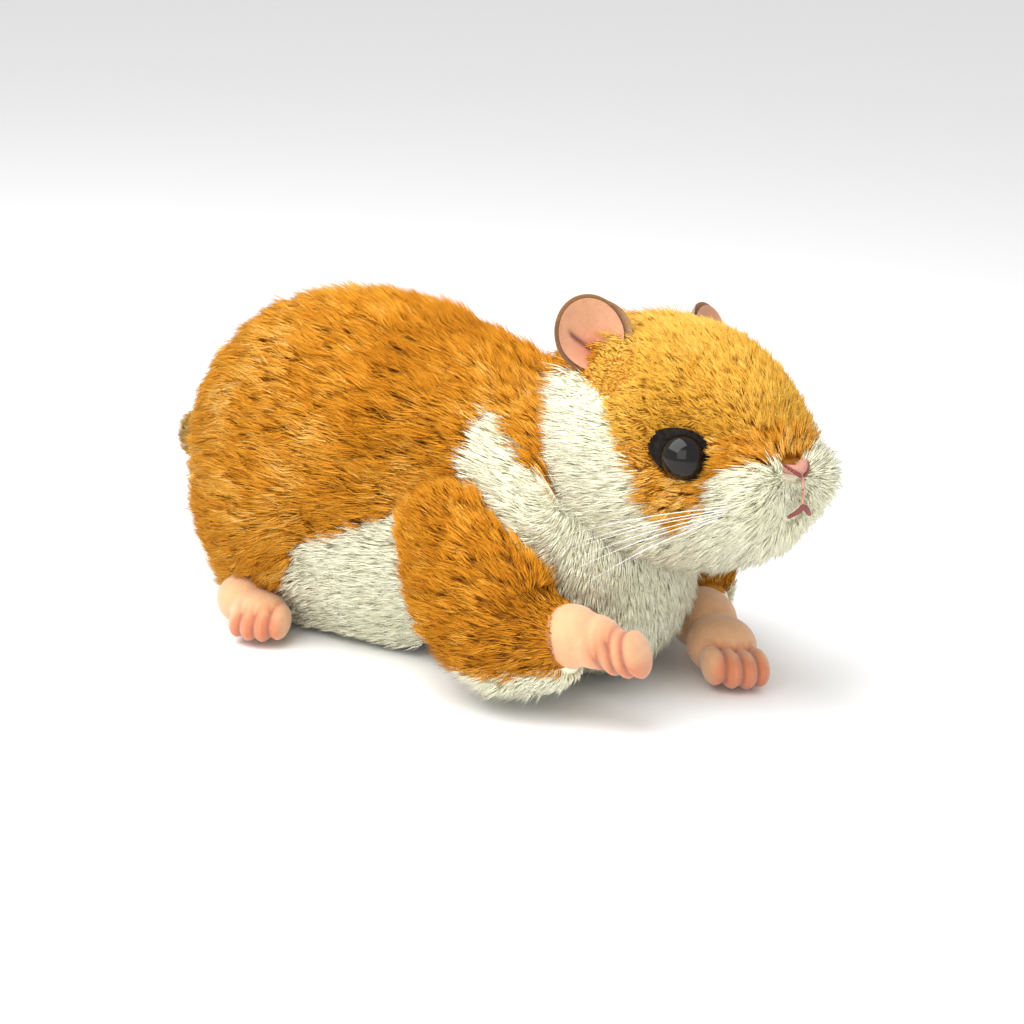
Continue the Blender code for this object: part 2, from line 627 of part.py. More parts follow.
CELL_Z = CORE_BOTTOM + 7.7
CONTACT_LOW, CONTACT_HIGH = CELL_Z - 4.5, CELL_Z + 4.7
for i, x in enumerate((-CELL_PITCH, 0.0, CELL_PITCH), start=1):
    cell = [(0, 0), (CELL_R, 0), (CELL_R, CELL_LENGTH - 1), (1.9, CELL_LENGTH - 1), (1.9, CELL_LENGTH), (0, CELL_LENGTH)]
    add_part(f"battery_cell_{i}", turned(cell, (x, 56.5, CELL_Z), (0, -1, 0), 14), CELL_JACKET)
    coil = []
    for k in range(25):
        turn, share = 2 * math.pi * k / 8, k / 24
        radius = 3.6 - 1.4 * share
        coil.append((x + radius * math.cos(turn), 61.5 - 4.4 * share, CELL_Z + radius * math.sin(turn)))
    add_part(f"battery_spring_{i}", tube(coil, 0.4, 4), STEEL)
add_part("battery_contact_front", block((-17, 11.4, CONTACT_LOW), (17, 11.9, CONTACT_HIGH)), STEEL)
add_part("battery_contact_rear", block((-17, 62.2, CONTACT_LOW), (17, 62.7, CONTACT_HIGH)), STEEL)

DOOR_TAB_X, DOOR_SCREW_Y = 6.0, 66.5
DOOR_TOP = CORE_BOTTOM + 2.0
tab_recess = block(
    (-DOOR_TAB_X - 0.4, BAY_REAR - 1, -5), (DOOR_TAB_X + 0.4, DOOR_SCREW_Y + 3.4, DOOR_TOP + 0.4)
)
door_screw_hole = rod((0, DOOR_SCREW_Y, -5), (0, DOOR_SCREW_Y, CORE_BOTTOM + 12), SCREW_SHANK_R + 0.4)
door_hole = add_part("door_screw_hole_cutter", door_screw_hole)
cut(lower, add_part("door_tab_recess_cutter", tab_recess), door_hole)
door_outline = [
    (-BAY_X + 0.4, BAY_FRONT + 0.4),
    (BAY_X - 0.4, BAY_FRONT + 0.4),
    (BAY_X - 0.4, BAY_REAR - 0.4),
    (DOOR_TAB_X, BAY_REAR - 0.4),
    (DOOR_TAB_X, DOOR_SCREW_Y + 3),
    (-DOOR_TAB_X, DOOR_SCREW_Y + 3),
    (-DOOR_TAB_X, BAY_REAR - 0.4),
    (-BAY_X + 0.4, BAY_REAR - 0.4),
]
door = add_part("battery_door", slab(door_outline, CORE_BOTTOM, DOOR_TOP, axis="Z"), HOUSING)
door_sink = rod((0, DOOR_SCREW_Y, -5), (0, DOOR_SCREW_Y, CORE_BOTTOM + 1.3), 2.8)
cut(door, door_hole, add_part("door_sink_cutter", door_sink))
for i in range(3):
    groove = block((-7, 16 + 2.4 * i, -5), (7, 17.2 + 2.4 * i, CORE_BOTTOM + 0.6))
    cut(door, add_part(f"door_grip_{i}_cutter", groove))
door_screw_profile = [(0, 0), (2.4, 0), (2.4, 1), (SCREW_SHANK_R, 1), (SCREW_SHANK_R, 10), (0, 10.8)]
door_screw_at = (0, DOOR_SCREW_Y, CORE_BOTTOM + 0.2)
door_screw = turned(door_screw_profile, door_screw_at, (0, 0, 1), 12)
add_part("battery_door_screw", door_screw, STEEL, origin=door_screw_at)

SWITCH_X, SWITCH_Y, SWITCH_TRAVEL = 15.5, -11.3, 3.0
switch = add_part("power_switch", block((11.5, -14, floor_top + GAP), (19.6, -5, CORE_BOTTOM + 7)), DARK_PLASTIC)
slot = add_part(
    "switch_slot_cutter",
    block((SWITCH_X - 1.9, SWITCH_Y - 1.7, -5), (SWITCH_X + 1.9, SWITCH_Y + 1.7 + SWITCH_TRAVEL, CORE_BOTTOM + 5.6)),
)
cut(switch, slot)
cut(lower, slot)
slider = block((SWITCH_X - 1.5, SWITCH_Y - 1.3, CORE_BOTTOM + 0.2), (SWITCH_X + 1.5, SWITCH_Y + 1.3, CORE_BOTTOM + 5.1))
add_part("power_switch_slider", slider, DARK_PLASTIC, origin=(SWITCH_X, SWITCH_Y, CORE_BOTTOM))


# ---------------------------------------------------------------- electronics

board = add_part("circuit_board", block((-19.5, 20, 22.0), (19.5, 62, 23.6)), BOARD)
join(
    board,
    add_part("sound_chip_helper", block((-6, 30, 23), (6, 42, 25.6))),
    add_part("capacitor_helper", rod((12, 50, 23), (12, 50, 31), 3.2)),
    add_part("lead_socket_helper", block((-16, 22.5, 23), (-9, 27, 28.5))),
)
speaker_profile = [(0, 0), (7, 0), (7, 5), (11, 8.2), (14, 8.6), (14, 10), (12, 10), (11, 9.2), (4, 7.5), (0, 8.2)]
add_part("speaker", turned(speaker_profile, (0, SPEAKER_Y, 49.4), (0, 0, 1), 20), DARK_PLASTIC)
mic_profile = [(0, 0), (3, 0), (3, 4), (0, 4)]
microphone = turned(mic_profile, (MICROPHONE[0], -15.6, MICROPHONE[1]), (0, -1, 0), 12)
add_part("microphone", microphone, STEEL)

button_board = add_part("button_board", block((-8, 10, 52.6), (8, 26, 54.0)), BOARD)
join(button_board, add_part("button_switch_helper", block((-3, 15, 53.5), (3, 21, 55.2))))
BUTTON_BASE, BUTTON_TRAVEL = 57.0, 1.5
button_profile = [(0, 0), (2.2, 0), (2.2, 9.5), (8.5, 9.5), (8.5, 12), (7, 13.6), (0, 14.4)]
button = turned(button_profile, (0, BUTTON_Y, BUTTON_BASE), (0, 0, 1), 16)
add_part("back_button", button, DARK_PLASTIC, origin=(0, BUTTON_Y, BUTTON_BASE))
BUTTON_SPRING_LOW, BUTTON_SPRING_HIGH = CORE_TOP + 0.7, BUTTON_BASE + 8.8
coil = []
for k in range(29):
    turn = 2 * math.pi * k / 8
    height = BUTTON_SPRING_LOW + (BUTTON_SPRING_HIGH - BUTTON_SPRING_LOW) * k / 28
    coil.append((4.4 * math.cos(turn), BUTTON_Y + 4.4 * math.sin(turn), height))
add_part("back_button_spring", tube(coil, 0.35, 4), STEEL)


# ---------------------------------------------------------------- neck drive

def idler_offset(distance, degrees):
    return distance * math.cos(math.radians(degrees)), distance * math.sin(math.radians(degrees))


sector_to_idler = SECTOR_MODULE * (SECTOR_TEETH + IDLER_SMALL_TEETH) / 2
dy, dz = idler_offset(sector_to_idler, IDLER_ANGLE)
IDLER_Y, IDLER_Z = NECK_Y + dy, NECK_Z + dz
idler_to_motor = MOTOR_MODULE * (IDLER_BIG_TEETH + PINION_TEETH) / 2
MOTOR_Y, MOTOR_Z = IDLER_Y + idler_to_motor, IDLER_Z
SHAFT_R, AXLE_R, MOTOR_SHAFT_R, BORE_PLAY = 1.5, 1.1, 1.0, 0.3

bracket_outline = [
    (-37.5, BRACKET_BASE),
    (BRACKET_REAR, BRACKET_BASE),
    (BRACKET_REAR, 54),
    (-26, 67),
    (-37.5, 67),
]
bracket = add_part("neck_bracket", slab(bracket_outline, BRACKET_RIGHT, BRACKET_LEFT), HOUSING)
between_plates = block((BRACKET_RIGHT + PLATE, -60, BRACKET_BASE + 2.5), (BRACKET_LEFT - PLATE, 10, 80))
neck_bore = rod((-20, NECK_Y, NECK_Z), (20, NECK_Y, NECK_Z), SHAFT_R + BORE_PLAY)
idler_bore = rod((-20, IDLER_Y, IDLER_Z), (20, IDLER_Y, IDLER_Z), AXLE_R + BORE_PLAY)
neck_bore_cutter = add_part("neck_bore_cutter", neck_bore)
idler_bore_cutter = add_part("idler_bore_cutter", idler_bore)
cut(bracket, add_part("between_plates_cutter", between_plates), neck_bore_cutter, idler_bore_cutter)

neck_shaft = rod((BRACKET_RIGHT - 1, NECK_Y, NECK_Z), (BRACKET_LEFT + 1, NECK_Y, NECK_Z), SHAFT_R)
add_part("neck_shaft", neck_shaft, STEEL)
idler_axle = rod((BRACKET_RIGHT - 0.7, IDLER_Y, IDLER_Z), (BRACKET_LEFT + 0.7, IDLER_Y, IDLER_Z), AXLE_R)
add_part("idler_axle", idler_axle, STEEL)

SECTOR_FIRST, SECTOR_LAST = -4, 4  # teeth either side of the one in mesh at rest
GEAR_RIGHT, GEAR_MIDDLE, BIG_GEAR_RIGHT, BIG_GEAR_LEFT = -3.0, 1.2, 2.2, 5.6
neck_centre = (0, NECK_Y, NECK_Z)
sector = gear_outline(SECTOR_TEETH, SECTOR_MODULE, NECK_Y, NECK_Z, IDLER_ANGLE, SECTOR_FIRST, SECTOR_LAST)
for angle in (10, 60, 120, 180, 240, 275):
    t = math.radians(angle)
    sector.append((NECK_Y + 5 * math.cos(t), NECK_Z + 5 * math.sin(t)))
neck_arm = add_part("neck_arm", slab(sector, GEAR_RIGHT, GEAR_MIDDLE), ACETAL, origin=neck_centre)
hub = rod((BRACKET_RIGHT + PLATE + 0.4, NECK_Y, NECK_Z), (BRACKET_LEFT - PLATE - 0.4, NECK_Y, NECK_Z), 3.6)
ARM_FRONT = SKULL_REAR + GAP
join(
    neck_arm,
    add_part("neck_hub_helper", hub),
    add_part("neck_stem_helper", block((GEAR_RIGHT, ARM_FRONT, 57), (GEAR_MIDDLE, NECK_Y - 3, 64))),
    add_part("neck_crossbar_helper", block((-21.5, ARM_FRONT, 62), (28, ARM_FRONT + 3, 70))),
)
cut(neck_arm, neck_bore_cutter)

idler_centre = (0, IDLER_Y, IDLER_Z)
small_phase = IDLER_ANGLE + 180 + 180 / IDLER_SMALL_TEETH
small_gear = gear_outline(IDLER_SMALL_TEETH, SECTOR_MODULE, IDLER_Y, IDLER_Z, small_phase)
big_gear = gear_outline(IDLER_BIG_TEETH, MOTOR_MODULE, IDLER_Y, IDLER_Z, 0.0)
idler = add_part("idler_gear", slab(big_gear, BIG_GEAR_RIGHT, BIG_GEAR_LEFT), ACETAL, origin=idler_centre)
join(idler, add_part("idler_small_gear_helper", slab(small_gear, GEAR_RIGHT - 0.6, BIG_GEAR_RIGHT + 0.4)))
cut(idler, idler_bore_cutter)

motor_centre = (0, MOTOR_Y, MOTOR_Z)
motor = add_part(
    "drive_motor",
    rounded_block((-19.6, MOTOR_Y - 7.5, MOTOR_Z - 10), (0.4, MOTOR_Y + 7.5, MOTOR_Z + 10), 1.5, 1),
    STEEL,
)
motor_bore = rod((-3, MOTOR_Y, MOTOR_Z), (20, MOTOR_Y, MOTOR_Z), MOTOR_SHAFT_R + BORE_PLAY)
motor_bore_cutter = add_part("motor_bore_cutter", motor_bore)
cut(motor, motor_bore_cutter)
motor_shaft = rod((-2.5, MOTOR_Y, MOTOR_Z), (7.0, MOTOR_Y, MOTOR_Z), MOTOR_SHAFT_R)
add_part("motor_shaft", motor_shaft, STEEL, origin=motor_centre)
pinion_outline = gear_outline(PINION_TEETH, MOTOR_MODULE, MOTOR_Y, MOTOR_Z, 180 + 180 / PINION_TEETH)
pinion = slab(pinion_outline, BIG_GEAR_RIGHT - 0.2, BIG_GEAR_LEFT + 0.2)
motor_pinion = add_part("motor_pinion", pinion, ACETAL, origin=motor_centre)
cut(motor_pinion, motor_bore_cutter)

lead_points = [(-14, 8.5, 43), (-14, 12, 41.5), (-13.5, 18, 37), (-12.5, 22, 33), (-12.5, 24.5, 29.8)]
lead_stations = [between(lead_points, k / 12) for k in range(13)]
add_part("motor_leads", tube(lead_stations, 0.9, 6), LEAD_JACKET)
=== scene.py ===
"""The looks of a plush hamster with a nodding head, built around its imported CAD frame.

Lengths are in millimetres in the animal's own frame, as in the part's source: it faces -Y, +X
is its left side and +Z is up, with the floor at z = 0. to_row() turns them into metres and
shifts them, so that the middle of the animal's box stands at the origin.
"""

import math

import bpy
import numpy as np
from mathutils import Matrix, Vector, kdtree, noise


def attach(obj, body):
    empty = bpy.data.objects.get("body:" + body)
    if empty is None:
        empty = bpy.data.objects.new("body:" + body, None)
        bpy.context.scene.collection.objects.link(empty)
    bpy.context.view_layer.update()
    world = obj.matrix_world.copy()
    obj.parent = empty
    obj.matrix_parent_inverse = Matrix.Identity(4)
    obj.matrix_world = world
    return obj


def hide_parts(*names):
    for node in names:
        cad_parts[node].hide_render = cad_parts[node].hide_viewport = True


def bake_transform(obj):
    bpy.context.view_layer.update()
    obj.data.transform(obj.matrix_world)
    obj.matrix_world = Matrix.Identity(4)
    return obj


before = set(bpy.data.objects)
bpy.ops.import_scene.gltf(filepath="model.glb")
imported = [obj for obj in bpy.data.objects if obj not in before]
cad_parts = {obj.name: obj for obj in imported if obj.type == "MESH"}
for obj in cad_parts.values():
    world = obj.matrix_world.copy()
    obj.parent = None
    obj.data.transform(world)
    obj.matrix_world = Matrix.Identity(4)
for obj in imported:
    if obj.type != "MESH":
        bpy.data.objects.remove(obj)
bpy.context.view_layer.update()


# ---------------------------------------------------------------- studio
# A long lens looks down a little at the animal's right front. It lies on a pale sweep, with a
# large soft light over its back and a weaker one beside the lens.

MM = 0.001
TO_BOX_MIDDLE = np.array((-0.3, -4.2, 0.0))


def to_row(points):
    return (np.asarray(points, float) + TO_BOX_MIDDLE) * MM


CAMERA_AZIMUTH, CAMERA_ELEVATION, CAMERA_ROLL = -58.5, 16.0, 2.4
CAMERA_DISTANCE, CAMERA_LENS = 808.0, 96.9
LOOK_AT = Vector(to_row((0.0, 0.0, 50.0)))

azimuth, elevation = math.radians(CAMERA_AZIMUTH), math.radians(CAMERA_ELEVATION)
towards_camera = Vector(
    (math.sin(azimuth) * math.cos(elevation), -math.cos(azimuth) * math.cos(elevation), math.sin(elevation))
)
camera_data = bpy.data.cameras.new("camera")
camera_data.lens = CAMERA_LENS
camera_data.shift_x, camera_data.shift_y = 0.0117, -0.0283
camera_data.clip_start, camera_data.clip_end = 0.05, 20.0
camera = bpy.data.objects.new("camera", camera_data)
bpy.context.scene.collection.objects.link(camera)
camera.matrix_world = (
    Matrix.Translation(LOOK_AT + towards_camera * CAMERA_DISTANCE * MM)
    @ (-towards_camera).to_track_quat("-Z", "Y").to_matrix().to_4x4()
    @ Matrix.Rotation(math.radians(CAMERA_ROLL), 4, "Z")
)
bpy.context.scene.camera = camera

world = bpy.data.worlds.new("studio")
world.use_nodes = True
world.node_tree.nodes["Background"].inputs["Color"].default_value = (1.0, 1.0, 1.0, 1.0)
world.node_tree.nodes["Background"].inputs["Strength"].default_value = 0.78
bpy.context.scene.world = world
bpy.context.scene.view_settings.view_transform = "Standard"


def soft_light(name, power, size, place, target=(0.0, 0.0, 45.0)):
    data = bpy.data.lights.new(name, "AREA")
    data.energy, data.size = power, size
    light = bpy.data.objects.new(name, data)
    light.location = Vector(to_row(place))
    aim = Vector(to_row(target)) - light.location
    light.rotation_euler = aim.to_track_quat("-Z", "Y").to_euler()
    bpy.context.scene.collection.objects.link(light)


soft_light("over_back", 6.4, 0.7, (-250.0, 150.0, 620.0))
soft_light("beside_lens", 1.4, 0.5, (-620.0, -250.0, 380.0))

bpy.ops.object.select_all(action="DESELECT")
bpy.ops.mesh.primitive_plane_add(size=8.0, location=(0, 0, -0.0002))
sweep = bpy.context.object
sweep.name = "studio_floor"
sweep_paper = bpy.data.materials.new("sweep_paper")
sweep_paper.use_nodes = True
sweep_paper.node_tree.nodes["Principled BSDF"].inputs["Base Color"].default_value = (0.93, 0.93, 0.93, 1)
sweep_paper.node_tree.nodes["Principled BSDF"].inputs["Roughness"].default_value = 0.8
sweep.data.materials.append(sweep_paper)


# ---------------------------------------------------------------- trunk
# The trunk is two panels of plush sewn over polyester filling: gold over the back, white on
# the belly and chest. This is the knitted backing of both, a stuffed closed form.


def blank(name):
    """A node material, its node tree and its shader."""
    material = bpy.data.materials.new(name)
    material.use_nodes = True
    tree = material.node_tree
    shader = tree.nodes["Principled BSDF"]
    return material, tree, shader


def speckle(tree, shader, colours, scale, detail=4.0, bump=0.0, bump_scale=None, rough=None):
    """Colours a shader by noise on the piece's own coordinates, with a bump of finer noise."""
    place = tree.nodes.new("ShaderNodeTexCoord")
    grain = tree.nodes.new("ShaderNodeTexNoise")
    grain.inputs["Scale"].default_value = scale
    grain.inputs["Detail"].default_value = detail
    tree.links.new(place.outputs["Object"], grain.inputs["Vector"])
    ramp = tree.nodes.new("ShaderNodeValToRGB")
    ramp.color_ramp.elements[0].position = 0.32
    ramp.color_ramp.elements[1].position = 0.68
    ramp.color_ramp.elements[0].color = (*colours[0], 1)
    ramp.color_ramp.elements[1].color = (*colours[1], 1)
    tree.links.new(grain.outputs["Fac"], ramp.inputs["Fac"])
    tree.links.new(ramp.outputs["Color"], shader.inputs["Base Color"])
    if bump:
        fine = tree.nodes.new("ShaderNodeTexNoise")
        fine.inputs["Scale"].default_value = bump_scale or scale * 3
        fine.inputs["Detail"].default_value = 3.0
        tree.links.new(place.outputs["Object"], fine.inputs["Vector"])
        relief = tree.nodes.new("ShaderNodeBump")
        relief.inputs["Strength"].default_value = bump
        relief.inputs["Distance"].default_value = 0.0004
        tree.links.new(fine.outputs["Fac"], relief.inputs["Height"])
        tree.links.new(relief.outputs["Normal"], shader.inputs["Normal"])
    if rough:
        spread = tree.nodes.new("ShaderNodeMapRange")
        spread.inputs["To Min"].default_value, spread.inputs["To Max"].default_value = rough
        tree.links.new(grain.outputs["Fac"], spread.inputs["Value"])
        tree.links.new(spread.outputs["Result"], shader.inputs["Roughness"])
    return ramp


def knitted_backing(name, dark, light):
    material, tree, shader = blank(name)
    speckle(tree, shader, (dark, light), 900.0, bump=0.5, bump_scale=2600.0, rough=(0.85, 1.0))
    return material


GOLD_BACKING = knitted_backing("gold_backing", (0.40, 0.15, 0.012), (0.56, 0.23, 0.02))
WHITE_BACKING = knitted_backing("white_backing", (0.88, 0.86, 0.64), (0.97, 0.95, 0.74))


def catmull(rows, share):
    """Catmull-Rom interpolation of the rows, share running from 0 to 1 along them."""
    rows = np.asarray(rows, float)
    place = np.asarray(share, float) * (len(rows) - 1)
    i = np.clip(place.astype(int), 0, len(rows) - 2)
    t = (place - i)[:, None]
    a, b, c, d = (rows[np.clip(i + k, 0, len(rows) - 1)] for k in (-1, 0, 1, 2))
    return 0.5 * (2 * b + (c - a) * t + (2 * a - 5 * b + 4 * c - d) * t**2 + (3 * b - a - 3 * c + d) * t**3)


def powered(wave, power):
    return np.copysign(np.abs(wave) ** (2 / power), wave)


def points_of(mesh, what="co"):
    found = np.empty(len(mesh.vertices) * 3, np.float32)
    mesh.vertices.foreach_get(what, found)
    return found.reshape(-1, 3).astype(float)


def set_points(mesh, points):
    mesh.vertices.foreach_set("co", np.asarray(points, np.float32).ravel())
    mesh.update()


def shaped_ball(name, segments, rings, shape):
    """A UV sphere, where shape(unit points) gives each vertex its place in mm."""
    bpy.ops.object.select_all(action="DESELECT")
    bpy.ops.mesh.primitive_uv_sphere_add(segments=segments, ring_count=rings, radius=1.0)
    ball = bpy.context.object
    ball.name = ball.data.name = name
    set_points(ball.data, to_row(shape(points_of(ball.data))))
    bpy.ops.object.mode_set(mode="EDIT")
    bpy.ops.mesh.select_all(action="SELECT")
    bpy.ops.mesh.normals_make_consistent(inside=False)
    bpy.ops.object.mode_set(mode="OBJECT")
    bpy.ops.object.shade_smooth()
    return ball


def hull_form(unit, stations, inset, power, floor=None):
    """Points of a stuffed hull lofted along Y, its poles at front and rear."""
    stations = np.asarray(stations, float)
    share = np.arccos(np.clip(unit[:, 2], -1, 1)) / math.pi
    turn = np.arctan2(unit[:, 0], unit[:, 1])
    y, half, bottom, top = catmull(stations, share).T
    front, rear = stations[0, 0], stations[-1, 0]
    widest, tallest = stations[:, 1].max(), (stations[:, 3] - stations[:, 2]).max() / 2
    core = (stations[:, 2] + stations[:, 3]).mean() / 2
    shrink = (rear - front - 2 * inset) / (rear - front)
    closing = np.where((share < 1e-4) | (share > 1 - 1e-4), 0.0, 1.0)
    wide = closing * half * (1 - inset / widest)
    tall = closing * (top - bottom) / 2 * (1 - inset / tallest)
    middle = core + ((bottom + top) / 2 - core) * (1 - inset / tallest)
    z = middle + tall * powered(np.cos(turn), power)
    if floor is not None:
        z = np.maximum(z, floor)
    y = (y - (front + rear) / 2) * shrink + (front + rear) / 2
    return np.stack([wide * powered(np.sin(turn), power), y, z], axis=1)


def pushed(points, centre, radius, push):
    """The points near a centre moved by push, fading out smoothly at radius."""
    reach = np.linalg.norm(points - np.asarray(centre, float), axis=1) / radius
    fade = np.clip(1 - reach**2, 0, 1) ** 2
    return points + fade[:, None] * np.asarray(push, float)


NECK = np.array((0.0, -32.0, 60.0))
HEAD_PLACE = (
    Matrix.Translation((3.0, -58.0, 70.5))
    @ Matrix.Rotation(math.radians(-13.0), 4, "Z")
    @ Matrix.Rotation(math.radians(3.6), 4, "Y")
    @ Matrix.Rotation(math.radians(-11.0), 4, "X")
)
HEAD_TURN = np.array(HEAD_PLACE.to_3x3())
HEAD_MIDDLE = np.array(HEAD_PLACE.translation)
HEAD = [
    (-43, 2, -11, -7),
    (-41, 12, -20, 4),
    (-33, 21, -28, 18),
    (-20, 29, -33, 30),
    (-6, 35, -35, 37),
    (9, 38, -35, 39),
    (22, 36, -32, 35),
    (33, 26, -22, 26),
    (40, 12, -9, 12),
    (41, 2, -1, 3),
]


def in_head(points):
    """Places in the head's own frame, where it faces -Y."""
    return (points - HEAD_MIDDLE) @ HEAD_TURN


def from_head(points):
    return np.asarray(points, float) @ HEAD_TURN.T + HEAD_MIDDLE


def depth_in(points, stations, power):
    """About how deep points lie inside a hull, in mm; negative outside."""
    share = np.linspace(0, 1, 200)
    y, half, bottom, top = catmull(stations, share).T
    wide = np.interp(points[:, 1], y, half, left=0.1, right=0.1)
    low = np.interp(points[:, 1], y, bottom)
    high = np.interp(points[:, 1], y, top)
    tall = np.maximum((high - low) / 2, 0.1)
    reach = (
        np.abs(points[:, 0] / wide) ** power + np.abs((points[:, 2] - (low + high) / 2) / tall) ** power
    ) ** (1 / power)
    return (1 - reach) * np.minimum(wide, tall)


HEAD_SECTOR, BODY_SECTOR = (-25.0, 97.0), (-33.0, 110.0)


def notched(points, sector, least, outside):
    """Folds the part of a hull that lies in the neck's gap onto the gap's two flat sides.
    The sector runs in degrees from ahead to above, about the neck's cross axis."""
    away = points[:, 1:] - NECK[1:]
    reach = np.hypot(away[:, 0], away[:, 1])
    low, high = sector
    angle = np.degrees(np.arctan2(away[:, 1], -away[:, 0]))
    if outside:
        half = (360 - (high - low)) / 2
        middle = high + half
        offset = (angle - middle + 180) % 360 - 180
    else:
        half = (high - low) / 2
        middle = low + half
        offset = (angle - middle + 180) % 360 - 180
    folded = np.abs(offset) < half
    share = np.abs(offset) / half
    new_reach = np.where(folded, np.maximum(reach * share, least), np.maximum(reach, least))
    edge = middle + np.copysign(half, offset)
    new_angle = np.radians(np.where(folded, edge, angle))
    moved = points.copy()
    moved[:, 1] = NECK[1] - new_reach * np.cos(new_angle)
    moved[:, 2] = NECK[2] + new_reach * np.sin(new_angle)
    return moved


TRUNK = [
    (-63, 2, 27, 31),
    (-60, 20, 11, 50),
    (-50, 32, 2, 68),
    (-34, 38, 0, 82),
    (-12, 40, 0, 89),
    (10, 42, 0, 95),
    (32, 46, 0, 101),
    (54, 47, 0, 102),
    (74, 43, 0, 98),
    (92, 32, 9, 84),
    (102, 16, 27, 64),
    (104, 2, 43, 47),
]
TRUNK_INSET, TRUNK_POWER, TRUNK_FLOOR = 5.6, 2.35, 1.3


def pocketed(points):
    """Sinks the belly in round the housing, whose flat bottom stays bare for the battery door."""
    x, y, z = points.T.copy()
    low = z < 14
    middle = (y - 25) / 46.5
    bare = low & (np.abs(x) < 21.2) & (np.abs(middle) < 1)
    rim = low & ~bare & (np.abs(x) < 22.7) & (np.abs(y - 25) < 47.7)
    wide = np.abs(x) / 21.2 > np.abs(middle)
    x = np.where(rim & wide, np.copysign(22.7, x), x)
    y = np.where(rim & ~wide, 25 + np.copysign(47.7, middle), y)
    x = np.where(bare & (np.abs(x) > 17.5), np.copysign(22.4, x), x)
    y = np.where(bare & (np.abs(y - 25) > 42.5), 25 + np.copysign(47.4, middle), y)
    return np.stack([x, y, np.where(bare, 64.0, z)], axis=1)


def trunk_form(unit):
    points = hull_form(unit, TRUNK, TRUNK_INSET, TRUNK_POWER)
    x, y, z = points.T
    flat = np.clip((40 - np.abs(x)) / 15, 0, 1) * np.clip((y + 38) / 12, 0, 1) * np.clip((92 - y) / 12, 0, 1)
    z = np.where(z < 30, 30 - (30 - z) * (1 + 0.42 * flat), z)
    points[:, 2] = np.maximum(z, TRUNK_FLOOR)
    for side in (-1, 1):
        points = pushed(points, (side * 41, 60, 36), 30, (side * 2.6, 0, 0))
        points = pushed(points, (side * 41, 8, 58), 26, (side * -3.0, 0, 0))
        points = pushed(points, (side * 43, 41, 40), 11, (side * -3.0, 0, 0))
        points = pushed(points, (side * 42, 43, 24), 11, (side * -3.5, 0, 1.0))
        points = pushed(points, (side * 40, 2, 2), 25, (side * -3.0, 0, 9.0))
    points = pushed(points, (0, -18, 88), 25, (0, 0, -7.0))
    points = pocketed(points)
    return notched(points, BODY_SECTOR, 8.0, outside=False)


trunk = shaped_ball("trunk_backing", 96, 72, trunk_form)


def trunk_is_white(points):
    """True below the line where the gold plush is sewn to the white, in mm."""
    line = np.interp(
        points[:, 1],
        [-70, -35.6, -27, -15, -10.5, -8.4, 11.4, 26.6, 43.2, 48, 54, 80, 110],
        [62, 60.4, 66.0, 76.0, 77.5, 53.0, 46.1, 39.0, 32.1, 23, 10, 5, 4],
    )
    pocket = (np.abs(points[:, 0]) < 24) & (np.abs(points[:, 1] - 25) < 49) & (points[:, 2] < 66)
    return (points[:, 2] < line) | pocket


def face_centres(mesh):
    found = np.empty(len(mesh.polygons) * 3, np.float32)
    mesh.polygons.foreach_get("center", found)
    return found.reshape(-1, 3) / MM - TO_BOX_MIDDLE


trunk.data.materials.append(GOLD_BACKING)
trunk.data.materials.append(WHITE_BACKING)
trunk.data.polygons.foreach_set(
    "material_index", trunk_is_white(face_centres(trunk.data)).astype(np.int32)
)
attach(trunk, "body")
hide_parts("back_cover", "belly_cover", "body_stuffing")


# ---------------------------------------------------------------- trunk pile
# Long polyester pile stands on the backing, combed from head to tail. It gathers in tufts,
# with painted shade darker at the root than at the tip, and is airbrushed brown over the loin.

random = np.random.default_rng(7)


def fibre(name, colour, roughness=0.75):
    material, _, shader = blank(name)
    shader.inputs["Base Color"].default_value = (*colour, 1)
    shader.inputs["Roughness"].default_value = roughness
    shader.inputs["Specular IOR Level"].default_value = 0.08
    return material


def tone_scale(name, root, tips):
    """Fibre materials for one plush: a root colour, painted shade at the roots, for dark and light tufts, then the
    tips.
    """
    dark = tuple(c * 0.8 for c in root)
    found = [fibre(f"{name}_root_dark", dark), fibre(f"{name}_root", root)]
    return found + [fibre(f"{name}_tip_{i}", tip) for i, tip in enumerate(tips)]


GOLD_PILE = tone_scale(
    "gold_pile",
    (0.52, 0.20, 0.012),
    [(0.52, 0.19, 0.010), (0.63, 0.25, 0.014), (0.73, 0.315, 0.024), (0.84, 0.43, 0.065), (0.95, 0.62, 0.19)],
)
WHITE_PILE = tone_scale(
    "white_pile",
    (0.95, 0.93, 0.70),
    [(0.93, 0.91, 0.68), (0.96, 0.94, 0.72), (0.98, 0.96, 0.76), (1.0, 0.98, 0.79), (1.0, 1.0, 0.82)],
)
HAIR_FACES = np.array([(0, 2, 1), (0, 3, 2), (0, 1, 3), (4, 1, 2), (4, 2, 3), (4, 3, 1)])
MOST_HAIRS = 33000  # in one piece, six triangles each


def unit_rows(rows):
    return rows / np.maximum(np.linalg.norm(rows, axis=1, keepdims=True), 1e-9)


